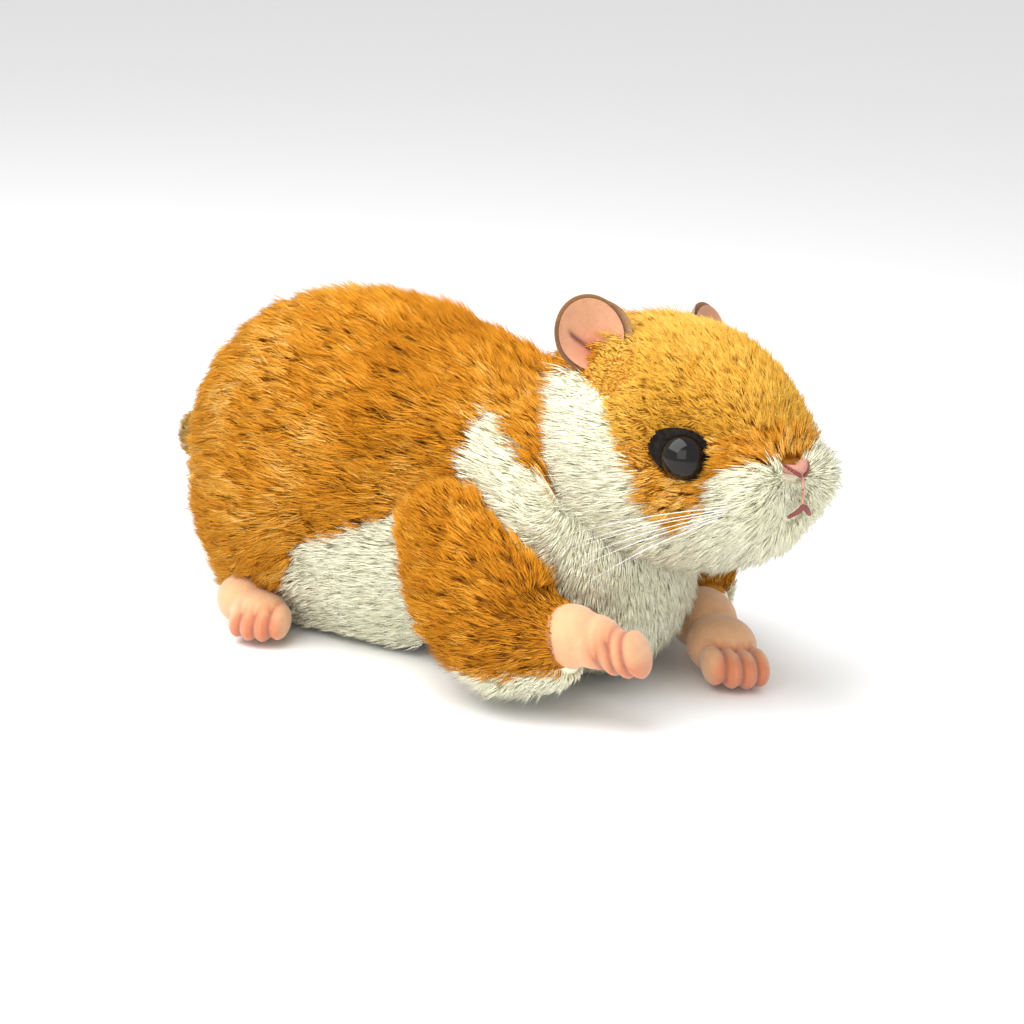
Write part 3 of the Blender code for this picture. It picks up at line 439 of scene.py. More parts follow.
def scattered(skin, per_mm2):
    """Seeded random points on a skin, with their normals, both in mm."""
    mesh = skin.data
    mesh.calc_loop_triangles()
    corners = np.empty(len(mesh.loop_triangles) * 3, np.int32)
    mesh.loop_triangles.foreach_get("vertices", corners)
    corners = corners.reshape(-1, 3)
    at = points_of(mesh) / MM - TO_BOX_MIDDLE
    normals = points_of(mesh, "normal")
    a, b, c = (at[corners[:, k]] for k in range(3))
    area = np.linalg.norm(np.cross(b - a, c - a), axis=1) / 2
    count = int(area.sum() * per_mm2 * (1.0))
    chosen = np.searchsorted(np.cumsum(area) / area.sum(), random.random(count))
    u, v = random.random(count), random.random(count)
    over = u + v > 1
    u[over], v[over] = 1 - u[over], 1 - v[over]
    share = np.stack([1 - u - v, u, v], axis=1)
    picked = corners[np.minimum(chosen, len(corners) - 1)]
    return (at[picked] * share[..., None]).sum(1), unit_rows((normals[picked] * share[..., None]).sum(1))


def drift(points, scale, seed):
    """Smooth noise from -1 to 1 at each point."""
    shift = Vector((seed * 7.3, seed * 3.1, seed * 5.7))
    return np.array([noise.noise(Vector(p) / scale + shift) for p in points])


def grow_pile(name, body, slot, scale, roots, normals, comb, length, **look):
    """Hairs from roots: comb gives each its lay along the skin and length its length in mm.
    look: width, tuft (hairs in one), lift (degrees at root and tip), gather, stray, shade."""
    width, tuft = look.get("width", 0.25), look.get("tuft", 20)
    lift_root, lift_tip = look.get("lift", (46.0, 12.0))
    gather, stray = look.get("gather", 0.14), look.get("stray", 13.0)
    count = len(roots)
    centres = random.choice(count, max(4, count // tuft), replace=False)
    tree = kdtree.KDTree(len(centres))
    for i, centre in enumerate(centres):
        tree.insert(roots[centre], i)
    tree.balance()
    owner = np.array([tree.find(root)[1] for root in roots])

    own = random.normal(size=(len(centres), 4))
    way = comb - (comb * normals).sum(1, keepdims=True) * normals
    way = unit_rows(way)
    across = np.cross(normals, way)
    swing = np.radians(own[owner, 0] * stray + random.normal(size=count) * stray * 0.55)
    way = way * np.cos(swing)[:, None] + across * np.sin(swing)[:, None]
    rise = np.radians(own[owner, 1] * 6 + random.normal(size=count) * 5)
    first = np.clip(np.radians(lift_root) + rise, 0.05, 1.5)
    second = np.clip(np.radians(lift_tip) + rise * 1.4, -0.2, 1.4)
    long = length * np.clip(1 + own[owner, 2] * 0.07 + random.normal(size=count) * 0.10, 0.6, 1.35)

    def step(angle, share):
        return (long * share)[:, None] * (np.sin(angle)[:, None] * normals + np.cos(angle)[:, None] * way)

    middle = roots + step(first, 0.42)
    tip = middle + step(second, 0.58)
    pull = tip[centres][owner] - tip
    pull *= np.minimum(1.0, 3.0 / np.maximum(np.linalg.norm(pull, axis=1, keepdims=True), 1e-6))
    tip = tip + gather * pull
    middle = middle + gather * 0.3 * pull
    tip[:, 2] = np.maximum(tip[:, 2], 0.4)
    middle[:, 2] = np.maximum(middle[:, 2], 0.5)
    root = roots - normals * 0.6

    thick = width * np.clip(1 + random.normal(size=count) * 0.18, 0.6, 1.6)
    ahead = unit_rows(tip - root)
    side = unit_rows(np.cross(ahead, normals) + 1e-6)
    up = np.cross(side, ahead)
    spin = random.random(count) * 2 * math.pi
    ring = [
        middle
        + (thick / 2)[:, None]
        * (np.cos(spin + k * 2 * math.pi / 3)[:, None] * side + np.sin(spin + k * 2 * math.pi / 3)[:, None] * up)
        for k in range(3)
    ]
    hairs = np.stack([root, *ring, tip], axis=1)

    patches = drift(roots[centres], 16.0, 1) * 1.1 + drift(roots[centres], 5.5, 2) * 0.9
    tone = patches[owner] + own[owner, 3] * 0.35 + random.normal(size=count) * 0.6
    tone = tone * look.get("variety", 0.9) + look.get("shade", 0.0)
    # Each hair's root half takes a root colour, painted shade at the base of the pile, and its tip half one of five tip
    # tones.
    tips = np.clip(np.round(2.1 + tone * 1.15), 0, 4).astype(np.int32) + 2
    base = (tone > -0.6).astype(np.int32)

    made = []
    order = np.argsort(roots[:, 1], kind="stable")
    for part, chosen in enumerate(np.array_split(order, max(1, math.ceil(count / MOST_HAIRS))), start=1):
        mesh = bpy.data.meshes.new(f"{name}_{part}")
        faces = (np.arange(len(chosen))[:, None, None] * 5 + HAIR_FACES[None]).reshape(-1)
        slots = np.concatenate([np.repeat(base[chosen][:, None], 3, 1), np.repeat(tips[chosen][:, None], 3, 1)], 1)
        mesh.vertices.add(len(chosen) * 5)
        set_points(mesh, to_row(hairs[chosen].reshape(-1, 3)))
        mesh.loops.add(len(faces))
        mesh.loops.foreach_set("vertex_index", faces.astype(np.int32))
        mesh.polygons.add(len(faces) // 3)
        mesh.polygons.foreach_set("loop_start", np.arange(0, len(faces), 3, dtype=np.int32))
        for material in scale:
            mesh.materials.append(material)
        mesh.polygons.foreach_set("material_index", slots.reshape(-1).astype(np.int32))
        mesh.update(calc_edges=True)
        pile = bpy.data.objects.new(f"{name}_{part}", mesh)
        bpy.context.scene.collection.objects.link(pile)
        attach(pile, body)
        made.append(pile)
    return made


def on_gap(points, sector):
    """True on the flat sides of the neck's gap, which carry no pile."""
    away = points[:, 1:] - NECK[1:]
    angle = np.degrees(np.arctan2(away[:, 1], -away[:, 0]))
    return np.minimum(np.abs(angle - sector[0]), np.abs(angle - sector[1])) < 2.0


roots, normals = scattered(trunk, 3.5)
kept = depth_in(in_head(roots), HEAD, 2.2) < 12
kept &= ~(on_gap(roots, BODY_SECTOR) & (depth_in(roots, TRUNK, TRUNK_POWER) > 13.0))
kept &= ~((np.abs(roots[:, 0]) < 22.9) & (np.abs(roots[:, 1] - 25) < 47.9) & (roots[:, 2] < 63) & (normals[:, 2] < 0.5))
kept &= ~((roots[:, 2] < 3.0) & (np.random.default_rng(3).random(len(roots)) > 0.35))
roots, normals = roots[kept], normals[kept]
white = trunk_is_white(roots + random.normal(size=roots.shape) * 0.5)

comb = np.tile(np.array((0.0, 1.0, 0.12)), (len(roots), 1))
rear = np.clip((roots[:, 1] - 62) / 40, 0, 1)
comb[:, 2] -= rear * 1.2 * np.clip((roots[:, 2] - 30) / 40, -0.6, 1)
haunch = np.exp(-(((roots[:, 1] - 58) / 16) ** 2) - ((roots[:, 2] - 18) / 16) ** 2)
comb[:, 2] -= haunch * 1.1
chest = np.clip((-30 - roots[:, 1]) / 14, 0, 1) * (roots[:, 2] < 66)
comb = comb * (1 - chest)[:, None] + chest[:, None] * np.array((0.0, 0.25, -1.0))
comb = unit_rows(comb)

underneath = roots[:, 2] < 4.0
gold_length = np.full(len(roots), 9.0)
gold_length[roots[:, 1] < 0] = 8.0
loin = np.exp(-(((roots[:, 1] - 14) / 16) ** 2) - ((roots[:, 2] - 88) / 16) ** 2)
loin += 0.8 * np.exp(-(((roots[:, 1] + 12) / 9) ** 2) - ((roots[:, 2] - 62) / 10) ** 2)
gold = ~white
grow_pile(
    "trunk_gold_pile", "body", "gold_plush", GOLD_PILE, roots[gold], normals[gold], comb[gold],
    gold_length[gold], shade=-1.3 * loin[gold],
)
white_length = np.where(underneath, 3.0, 6.5)
grow_pile(
    "trunk_white_pile", "body", "white_plush", WHITE_PILE, roots[white], normals[white], comb[white],
    white_length[white], gather=0.06, stray=8.0, tuft=12, lift=(38.0, 8.0), width=0.28,
)


# ---------------------------------------------------------------- head
# The head is a second stuffed ball, gold over the crown and white over cheeks, muzzle and chin.
# Its backing has two whisker pads and dents for the eyes.

HEAD_INSET = 3.8


def head_form(unit):
    points = hull_form(unit, HEAD, HEAD_INSET, 2.2)
    for side in (-1, 1):
        points = pushed(points, (side * 13, -36, -10), 12, (side * 3.0, -3.2, 1.0))
        points = pushed(points, (side * 27, -21, 2), 12, (side * -2.0, 1.0, 0))
    points = pushed(points, (0, -33, -24), 11, (0, -1.5, -0.5))
    points = pushed(points, (0, -40, 7), 15, (0, 3.2, -0.5))
    points = pushed(points, (0, -41, -12), 7, (0, 1.2, 0))
    return notched(from_head(points), HEAD_SECTOR, 8.0, outside=True)


head = shaped_ball("head_backing", 96, 72, head_form)


def head_is_white(local):
    """True below the line where the crown's gold plush meets the white cheeks, in the head."""
    line = np.interp(
        local[:, 1],
        [-45, -40.7, -34.5, -29.7, -26.9, -22, -18.7, -13.3, -11.3, -6.5, 0.3, 10.2, 16.5, 17.5],
        [-4, -3.7, -3.7, -5.9, -11.2, -17, -19.1, -15.3, -5.4, 5.5, 16.3, 22.2, 23, -40],
    )
    far_pad = 5 * np.clip((local[:, 0] - 5) / 6, 0, 1) * (local[:, 1] < -30)
    return local[:, 2] < line + far_pad


head.data.materials.append(GOLD_BACKING)
head.data.materials.append(WHITE_BACKING)
head.data.polygons.foreach_set(
    "material_index", head_is_white(in_head(face_centres(head.data))).astype(np.int32)
)
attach(head, "head")
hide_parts("crown_cover", "face_cover", "head_stuffing")


# ---------------------------------------------------------------- neck
# A loose tube of the same backing joins trunk and head inside the pile, and closes the gap
# in which the head nods. It is gold at the nape and white at the throat.


def sleeve_form(unit):
    turn = np.arctan2(unit[:, 1], -unit[:, 0])
    reach = 22.5 + 5.5 * np.cos(turn + math.radians(29))
    ring = np.sqrt(np.clip(1 - unit[:, 2] ** 2, 0, 1)) ** 0.7
    return np.stack(
        [26.0 * unit[:, 2], NECK[1] - reach * ring * np.cos(turn), NECK[2] + reach * ring * np.sin(turn)], axis=1
    )


sleeve = shaped_ball("neck_sleeve", 72, 40, sleeve_form)
sleeve.data.materials.append(GOLD_BACKING)
sleeve.data.materials.append(WHITE_BACKING)
sleeve.data.polygons.foreach_set("material_index", (face_centres(sleeve.data)[:, 2] < 66).astype(np.int32))
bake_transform(sleeve)


# ---------------------------------------------------------------- head pile
# Shorter pile, combed away from the nose. The forehead is paler and curlier, and a fringe of
# the body's longer brown pile stands behind the ears.

EYES = {side: np.array((side * 25.6, -22.6, 1.3)) for side in (-1, 1)}
EYE_ALONG = np.array((7.2, -13.6, -7.2)) / 17.0
FOREHEAD_PILE = tone_scale(
    "forehead_pile",
    (0.66, 0.34, 0.030),
    [(0.60, 0.28, 0.022), (0.70, 0.36, 0.036), (0.79, 0.44, 0.058), (0.87, 0.53, 0.095), (0.94, 0.63, 0.16)],
)


def eye_frame(side):
    """The eye opening's long way, its short way and its outward way, in the head."""
    out = unit_rows(np.array([(side * 0.80, -0.59, 0.10)]))[0]
    along = np.array((-side * EYE_ALONG[0], EYE_ALONG[1], EYE_ALONG[2]))
    along = unit_rows((along - (along @ out) * out)[None])[0]
    return along, np.cross(out, along), out


roots, normals = scattered(head, 5.6)
local = in_head(roots)
kept = depth_in(roots, TRUNK, TRUNK_POWER) < 10
kept &= ~(on_gap(roots, HEAD_SECTOR) & (depth_in(local, HEAD, 2.2) > 6.0))
kept &= np.linalg.norm((local - (0, -41, -5)) / (4.6, 6, 2.6), axis=1) > 1
kept &= np.linalg.norm((local - (0, -41, -16)) / (5.0, 6, 2.0), axis=1) > 1
for side in (-1, 1):
    along, across, out = eye_frame(side)
    away = local - EYES[side]
    spread = ((away @ along) / 8.8) ** 2 + ((away @ across) / 6.6) ** 2
    kept &= (spread > 1) | (np.abs(away @ out) > 9)
roots, normals, local = roots[kept], normals[kept], local[kept]

comb = local - np.array((0.0, -46.0, -6.0))
forehead = np.clip((local[:, 2] + 2) / 12, 0, 1) * np.clip((14 - local[:, 1]) / 8, 0, 1)
nape = np.clip((local[:, 1] - 6) / 6, 0, 1) * np.clip((local[:, 2] - 10) / 10, 0, 1)
pads = np.clip(1 - np.linalg.norm((np.abs(local) - (12, 36, 12)) / (11, 9, 11), axis=1), 0, 1)
comb = unit_rows(comb @ HEAD_TURN.T)
length = np.full(len(roots), 7.2)
length -= 2.0 * forehead * (local[:, 1] < 2) - 2.8 * nape + 1.0 * pads
length *= np.clip(0.3 + np.linalg.norm((local - (0, -41, -11)) / (1, 1, 1.5), axis=1) / 16, 0.4, 1)
for at in ((-26.0, 2.0, 22.5), (26.5, 8.0, 20.0)):
    length *= np.clip(np.linalg.norm(local - at, axis=1) / 9 - 0.45, 0.3, 1)
for side in (-1, 1):
    length *= np.clip(np.linalg.norm(local - EYES[side], axis=1) / 15, 0.55, 1)
white = head_is_white(local + random.normal(size=local.shape) * 0.6)
fore = ~white & (forehead > 0.5) & (nape < 0.3)
back = ~white & ~fore
brow = np.exp(-(np.linalg.norm(np.abs(local) - (25.3, 22.4, 4.0), axis=1) / 12) ** 2)
# crown lightens the pile over the top of the head: a painted highlight.
crown = np.clip((local[:, 2] - 18) / 14, 0, 1)
grow_pile(
    "forehead_pile", "head", "gold_plush", FOREHEAD_PILE, roots[fore], normals[fore], comb[fore],
    length[fore], shade=(0.7 * crown - 1.1 * brow)[fore], lift=(50.0, 16.0), stray=20.0, width=0.22, tuft=9,
    gather=0.08, variety=0.6,
)
grow_pile(
    "nape_pile", "head", "gold_plush", GOLD_PILE, roots[back], normals[back], comb[back],
    length[back], shade=0.2,
)
grow_pile(
    "cheek_pile", "head", "white_plush", WHITE_PILE, roots[white], normals[white], comb[white],
    length[white], gather=0.05, stray=9.0, tuft=12, lift=(38.0, 9.0), width=0.27,
)


# ---------------------------------------------------------------- forelegs
# Two stuffed plush tubes sewn to the shoulders: the right one is raised, the left one rests.
# Their gold pile radiates from the wrist, and the right elbow has a white patch below.


def limb_form(unit, rows, inset=0.0, cap=0.18, power=2.0, floor=None):
    """Points of a round-ended limb along rows of (x, y, z, half width, half height)."""
    rows = np.asarray(rows, float)
    share = np.arccos(np.clip(unit[:, 2], -1, 1)) / math.pi
    turn = np.arctan2(unit[:, 0], unit[:, 1])
    along = np.clip((share - cap) / (1 - 2 * cap), 0, 1)
    first, last = np.clip(1 - share / cap, 0, 1), np.clip(1 - (1 - share) / cap, 0, 1)
    forward = np.sin(last * math.pi / 2) - np.sin(first * math.pi / 2)
    closing = np.cos(np.maximum(first, last) * math.pi / 2)
    place = catmull(rows, along)
    ahead = unit_rows(catmull(rows, np.minimum(along + 0.02, 1))[:, :3] - catmull(rows, np.maximum(along - 0.02, 0))[:, :3])
    aside = unit_rows(np.cross(ahead, (0.0, 0.0, 1.0)))
    upward = np.cross(aside, ahead)
    wide, tall = place[:, 3] - inset, place[:, 4] - inset
    points = place[:, :3] + aside * (powered(np.sin(turn), power) * wide * closing)[:, None]
    points += upward * (powered(np.cos(turn), power) * tall * closing)[:, None]
    points += ahead * (forward * np.minimum(wide, tall))[:, None]
    if floor is not None:
        points[:, 2] = np.maximum(points[:, 2], floor)
    return points


FORELEGS = {
    "right": [(-38, -7, 46, 16, 16), (-42, -17, 34, 18, 21), (-42, -31, 23, 19, 20), (-41, -43, 21, 15, 15)],
    "left": [(38, -8, 44, 15, 16), (44, -24, 32, 17, 18), (45, -40, 21, 15, 16), (37, -50, 14, 12, 12)],
}
WRISTS = {"right": (-41, -53, 23.5), "left": (33, -55, 12)}
for name, rows in FORELEGS.items():
    leg = shaped_ball(f"foreleg_backing_{name}", 64, 48, lambda unit: limb_form(unit, rows, 4.2, floor=3.2))
    leg.data.materials.append(GOLD_BACKING)
    leg.data.materials.append(WHITE_BACKING)
    centres = face_centres(leg.data)
    patch = centres[:, 2] < 14.6 - (centres[:, 1] + 35) * 0.16
    leg.data.polygons.foreach_set("material_index", (patch & (centres[:, 1] < -20)).astype(np.int32))
    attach(leg, "body")
    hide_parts(f"foreleg_{name}")

    roots, normals = scattered(leg, 3.4)
    kept = depth_in(roots, TRUNK, TRUNK_POWER) < 4
    kept &= depth_in(in_head(roots), HEAD, 2.2) < 2
    kept &= np.linalg.norm(roots - np.array(WRISTS[name]), axis=1) > 8.5
    roots, normals = roots[kept], normals[kept]
    jitter = random.normal(size=roots.shape) * 0.6 + roots
    white = (jitter[:, 2] < 14.6 - (jitter[:, 1] + 35) * 0.16) & (roots[:, 1] < -20)
    comb = unit_rows(roots - np.array(WRISTS[name]))
    comb[:, 2] -= 0.6 * np.clip((16 - roots[:, 2]) / 10, 0, 1)
    length = np.where(roots[:, 2] < 5, 4.0, 7.4)
    length *= np.clip(np.linalg.norm(roots - np.array(WRISTS[name]), axis=1) / 16, 0.6, 1)
    gold = ~white
    # The leg pile is set darker (shade=-0.6): painted shade on the lower, less lit legs.
    grow_pile(
        f"foreleg_gold_pile_{name}", "body", "gold_plush", GOLD_PILE, roots[gold], normals[gold],
        unit_rows(comb[gold]), length[gold], shade=-0.6,
    )
    grow_pile(
        f"foreleg_white_pile_{name}", "body", "white_plush", WHITE_PILE, roots[white], normals[white],
        unit_rows(comb[white]), length[white], gather=0.12, width=0.27,
    )


# ---------------------------------------------------------------- paws and feet
# Small mitts of peach felt, lightly stuffed, with stitched toes. The grooves between the toes
# and their tips are airbrushed salmon, and painted shade darkens the bottom of each groove.


def blushed_felt(name, pale, deep, crease_shade_colour):
    """Felt that turns from pale to deep where the mesh's blush attribute is high, and to a painted shade colour where
    its crease shade attribute is high.
    """
    material, tree, shader = blank(name)
    shader.inputs["Roughness"].default_value = 0.92
    shader.inputs["Sheen Weight"].default_value = 0.35
    ramp = speckle(tree, shader, (tuple(c * 0.9 for c in pale), pale), 420.0, 6.0, bump=0.55, bump_scale=1900.0)
    blush = tree.nodes.new("ShaderNodeAttribute")
    blush.attribute_name = "blush"
    soft = tree.nodes.new("ShaderNodeMix")
    soft.data_type = "RGBA"
    tree.links.new(blush.outputs["Fac"], soft.inputs[0])
    tree.links.new(ramp.outputs["Color"], soft.inputs[6])
    soft.inputs[7].default_value = (*deep, 1)
    # Painted shade in creases, read from a second attribute.
    line = tree.nodes.new("ShaderNodeAttribute")
    line.attribute_name = "painted_crease_shade"
    dark = tree.nodes.new("ShaderNodeMix")
    dark.data_type = "RGBA"
    tree.links.new(line.outputs["Fac"], dark.inputs[0])
    tree.links.new(soft.outputs[2], dark.inputs[6])
    dark.inputs[7].default_value = (*crease_shade_colour, 1)
    tree.links.new(dark.outputs[2], shader.inputs["Base Color"])
    return material


# Pale and deep felt colours, then the painted shade colour of the toe grooves.
PAW_FELT = blushed_felt("paw_felt", (0.74, 0.41, 0.21), (0.56, 0.17, 0.08), (0.16, 0.06, 0.04))


def painted(mesh, name, values):
    spread = mesh.attributes.new(name, "FLOAT", "POINT")
    spread.data.foreach_set("value", np.asarray(values, np.float32))


def axes_along(ahead):
    ahead = Vector(ahead).normalized()
    aside = ahead.cross(Vector((0, 0, 1))).normalized()
    return np.array((ahead, aside, aside.cross(ahead)))


def ellipsoid(centre, ahead, radii):
    """A ball stretched along ahead (radii: along, across, up), in mm."""
    bpy.ops.mesh.primitive_uv_sphere_add(segments=32, ring_count=20, radius=1.0)
    ball = bpy.context.object
    unit = points_of(ball.data)
    axes = axes_along(ahead) * np.array(radii)[:, None]
    set_points(ball.data, to_row(np.asarray(centre, float) + unit @ axes))
    return ball


def mitt(name, node, palm, toes, body="body"):
    """A felt paw: palm balls and four toes, each (centre, ahead, radii), melted together."""
    bpy.ops.object.select_all(action="DESELECT")
    balls = [ellipsoid(*row) for row in palm + toes]
    for ball in balls:
        ball.select_set(True)
    bpy.context.view_layer.objects.active = balls[0]
    bpy.ops.object.join()
    paw = bpy.context.object
    paw.name = paw.data.name = name
    for kind, setting in (("REMESH", {"mode": "VOXEL", "voxel_size": 0.62 * MM}), ("SMOOTH", {"iterations": 5})):
        modifier = paw.modifiers.new(kind.lower(), kind)
        for key, value in setting.items():
            setattr(modifier, key, value)
        bpy.ops.object.modifier_apply(modifier=modifier.name)
    bpy.ops.object.shade_smooth()
    at = points_of(paw.data) / MM - TO_BOX_MIDDLE
    at[:, 2] = np.maximum(at[:, 2], 0.3)
    set_points(paw.data, to_row(at))
    reach = np.stack([np.linalg.norm((at - np.array(c)) @ axes_along(a).T / np.array(r), axis=1) for c, a, r in toes])
    reach.sort(axis=0)
    ahead = unit_rows(np.array([toes[0][1]], float))[0]
    tips = np.array([np.array(c) @ ahead for c, _, _ in toes]).mean()
    forward = at @ ahead - tips
    near = np.clip((1.45 - reach[0]) / 0.3, 0, 1)
    groove = np.exp(-(((reach[1] - reach[0]) / 0.75) ** 2)) * near
    tip = np.clip((forward - 2.0) / 3.0, 0, 1) * 0.6 * near
    painted(paw.data, "blush", np.clip(groove * 0.9 + tip, 0, 1) * 0.9)
    # A dark line of painted shade along the bottom of each groove between the toes.
    painted(paw.data, "painted_crease_shade", np.clip(groove - 0.8, 0, 1) * 2.6)
    paw.data.materials.append(PAW_FELT)
    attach(paw, body)
    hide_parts(node)
    return paw


def toe_row(middle, ahead, across, gap, radii, bow=0.8):
    """Four toes side by side along across, the inner two a little ahead."""
    middle, ahead, across = (np.asarray(v, float) for v in (middle, ahead, across))
    rows = []
    for k in (-1.5, -0.5, 0.5, 1.5):
        rows.append((middle + across * k * gap + ahead * (bow if abs(k) < 1 else -bow), ahead, radii))
    return rows


mitt(
    "forepaw_felt_right", "forepaw_right",
    [((-40.8, -50, 24.6), (0.1, -1, -0.1), (9, 9.6, 9.0)), ((-39.4, -56.5, 24.2), (0.15, -1, -0.15), (8.5, 8.8, 7.4))],
    toe_row((-38.6, -63.6, 22.6), (0.05, -0.38, -0.92), (0.18, -0.98, -0.04), 3.9, (6.9, 7.2, 2.8), 0.4),
)
LEFTWARD = np.array((-0.66, -0.73, -0.16))
mitt(
    "forepaw_felt_left", "forepaw_left",
    [((29, -54.5, 12), (-0.66, -0.73, -0.16), (12, 10, 9)), ((19, -66, 9.2), (-0.66, -0.73, -0.16), (11, 10.4, 8.2))],
    toe_row((10.5, -75.5, 6.6), LEFTWARD, (-0.73, 0.66, 0.1), 4.6, (6.8, 3.1, 5.4)),
)
for side, name in ((-1, "right"), (1, "left")):
    mitt(
        f"hind_foot_felt_{name}", f"hind_foot_{name}",
        [((side * 35, 66, 9.4), (side * 0.4, -0.9, -0.1), (9, 8.4, 7.6)), ((side * 39, 57.5, 8.0), (side * 0.5, -0.8, -0.1), (9, 8.6, 6.6))],
        toe_row((side * 42.6, 55.0, 6.4), (side * 0.93, -0.28, -0.25), (side * 0.28, 0.93, -0.05), 4.3, (6.4, 2.8, 4.8)),
    )


# ---------------------------------------------------------------- tail
# A stub of olive felt-backed plush at the rump, with short standing pile.

TAIL_BACKING = knitted_backing("tail_backing", (0.18, 0.11, 0.03), (0.28, 0.17, 0.05))
tail_rows = [(-1, 100, 46, 6, 8), (-2, 107, 46, 5.5, 8), (-2.5, 110.5, 46, 4.2, 6.5)]
tail = shaped_ball("tail_backing", 32, 24, lambda unit: limb_form(unit, tail_rows, 1.0))
tail.data.materials.append(TAIL_BACKING)
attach(tail, "body")
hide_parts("tail")
TAIL_PILE = tone_scale(
    "tail_pile",
    (0.26, 0.15, 0.04),
    [(0.26, 0.15, 0.04), (0.36, 0.22, 0.06), (0.46, 0.29, 0.09), (0.56, 0.37, 0.13), (0.66, 0.46, 0.18)],
)
roots, normals = scattered(tail, 5.0)
grow_pile(
    "tail_pile", "body", "gold_plush", TAIL_PILE, roots, normals,
    np.tile(np.array((0.0, 0.8, 0.3)), (len(roots), 1)), np.full(len(roots), 4.6), width=0.2,
)


# ---------------------------------------------------------------- ears
# Each ear is a cupped leaf of peach felt backed with tan suede, pinched at its base. The felt
# is airbrushed salmon above a fold line of painted shade, with more painted shade at its base.

# Pale and deep colours of each, then the painted shade colour of the fold and base.
EAR_FELT = blushed_felt("ear_felt", (0.66, 0.34, 0.19), (0.52, 0.15, 0.09), (0.085, 0.018, 0.012))
EAR_SUEDE = blushed_felt("ear_suede", (0.36, 0.19, 0.07), (0.16, 0.07, 0.03), (0.12, 0.045, 0.02))
EARS = {
    "right": (Vector((-24.0, 6.5, 22.5)), (-38, -8, -14)),
    "left": (Vector((25.5, 11.0, 19.0)), (4, -14, 30)),
}


def ear_leaf(name, node, side, thick, back, wider, curl, material):
    """One cupped leaf; curl rolls its inner edge forward over the leaf in front, in mm."""
    at, (turn, lean, splay) = EARS[side]
    place = (
        HEAD_PLACE
        @ Matrix.Translation(at)
        @ Matrix.Rotation(math.radians(turn), 4, "Z")
        @ Matrix.Rotation(math.radians(splay), 4, "Y")
        @ Matrix.Rotation(math.radians(lean), 4, "X")
    )

    def leaf(unit):
        share = np.hypot(unit[:, 0], unit[:, 1])
        pinch = 1 - 0.30 * np.clip(-unit[:, 1], 0, 1) ** 2
        edge = np.clip((unit[:, 0] * (1 if side == "right" else -1) - 0.72) / 0.28, 0, 1)
        x = 9.6 * wider * unit[:, 0] * pinch * (1 + 0.12 * edge * min(curl, 1.0))
        z = 11.25 * (1 + unit[:, 1] * wider)
        roll = 0.5 * np.sin(unit[:, 0] * 4.0 + 0.6) * np.clip(-unit[:, 1], 0, 1)
        y = 4.5 * (1 - share**2) + back - unit[:, 2] * thick / 2 + roll - curl * edge
        points = np.stack([x, y, z], axis=1)
        return points @ np.array(place.to_3x3()).T + np.array(place.translation)

    ear = shaped_ball(name, 64, 40, leaf)
    in_ear = (points_of(ear.data) / MM - TO_BOX_MIDDLE - np.array(place.translation)) @ np.array(place.to_3x3())
    x, z = in_ear[:, 0] / 9.6, in_ear[:, 2] / 22.5
    fold = np.exp(-(((z - 0.58 + 0.56 * (x + 0.5)) / 0.055) ** 2)) * np.clip((0.35 - x) / 0.1, 0, 1)
    fold *= np.clip((x + 0.62) / 0.1, 0, 1)
    rim = np.exp(-(((np.hypot(x, (z - 0.5) * 2) - 1.0) / 0.10) ** 2)) * (z < 0.8)
    painted(ear.data, "blush", np.clip(0.95 * np.exp(-((x / 0.6) ** 2) - (((z - 0.32) / 0.24) ** 2)) + 0.5 * rim, 0, 1))
    # Painted shade: a dark line along the fold, and a darkening of the base where the ear meets the pile.
    painted(ear.data, "painted_crease_shade", np.clip(fold + 0.45 * np.clip((0.12 - z) / 0.12, 0, 1), 0, 0.9))
    ear.data.materials.append(material)
    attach(ear, "head")
    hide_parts(node)
    return ear


for side in EARS:
    ear_leaf(f"ear_felt_{side}", f"ear_lining_{side}", side, 1.0, 0.0, 0.94, 0.0, EAR_FELT)
    ear_leaf(f"ear_suede_{side}", f"ear_back_{side}", side, 1.3, 1.4, 1.06, 2.6, EAR_SUEDE)


# ---------------------------------------------------------------- eyes
# A glossy black plastic dome is snapped through an almond of black felt on each side.

EYE_BLACK, tree, shader = blank("eye_black")
speckle(tree, shader, ((0.004, 0.003, 0.003), (0.012, 0.009, 0.008)), 60.0)
shader.inputs["Roughness"].default_value = 0.06
shader.inputs["Specular IOR Level"].default_value = 0.3
LID_FELT, tree, shader = blank("lid_felt")
speckle(tree, shader, ((0.006, 0.005, 0.005), (0.02, 0.017, 0.015)), 700.0, bump=0.6, bump_scale=2400.0, rough=(0.85, 1.0))
shader.inputs["Specular IOR Level"].default_value = 0.05
EYE_AT = {"right": (-26, -22.5, 0.6), "left": (26, -22.5, 0.6)}
for name, side in (("right", -1), ("left", 1)):
    along, across, out = eye_frame(side)
    seat = np.array(EYE_AT[name]) - 2.0 * out

    def dome(unit):
        bulge = np.where(unit[:, 2] > 0, 5.6, 0.8) * unit[:, 2]
        local = seat + 6.3 * (unit[:, :1] * along + unit[:, 1:2] * across) + bulge[:, None] * out
        return from_head(local)

    def lid(unit):
        corner = 1 + 0.10 * np.abs(unit[:, :1]) ** 3
        local = EYES[side] - 0.4 * out + 9.4 * corner * unit[:, :1] * along + 6.7 * unit[:, 1:2] * across
        local = local + (0.9 * unit[:, 2:] - 2.2 * unit[:, :1] ** 2) * out
        return from_head(local)

    eye = shaped_ball(f"eye_dome_{name}", 64, 40, dome)
    eye.data.materials.append(EYE_BLACK)
    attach(eye, "head")
    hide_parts(f"eye_{name}")
    felt = shaped_ball(f"eye_lid_{name}", 48, 24, lid)
    felt.data.materials.append(LID_FELT)
    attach(felt, "head")


# ---------------------------------------------------------------- nose and mouth
# Nose and mouth are satin-stitched in dusty pink and dark red thread over airbrushed skin.


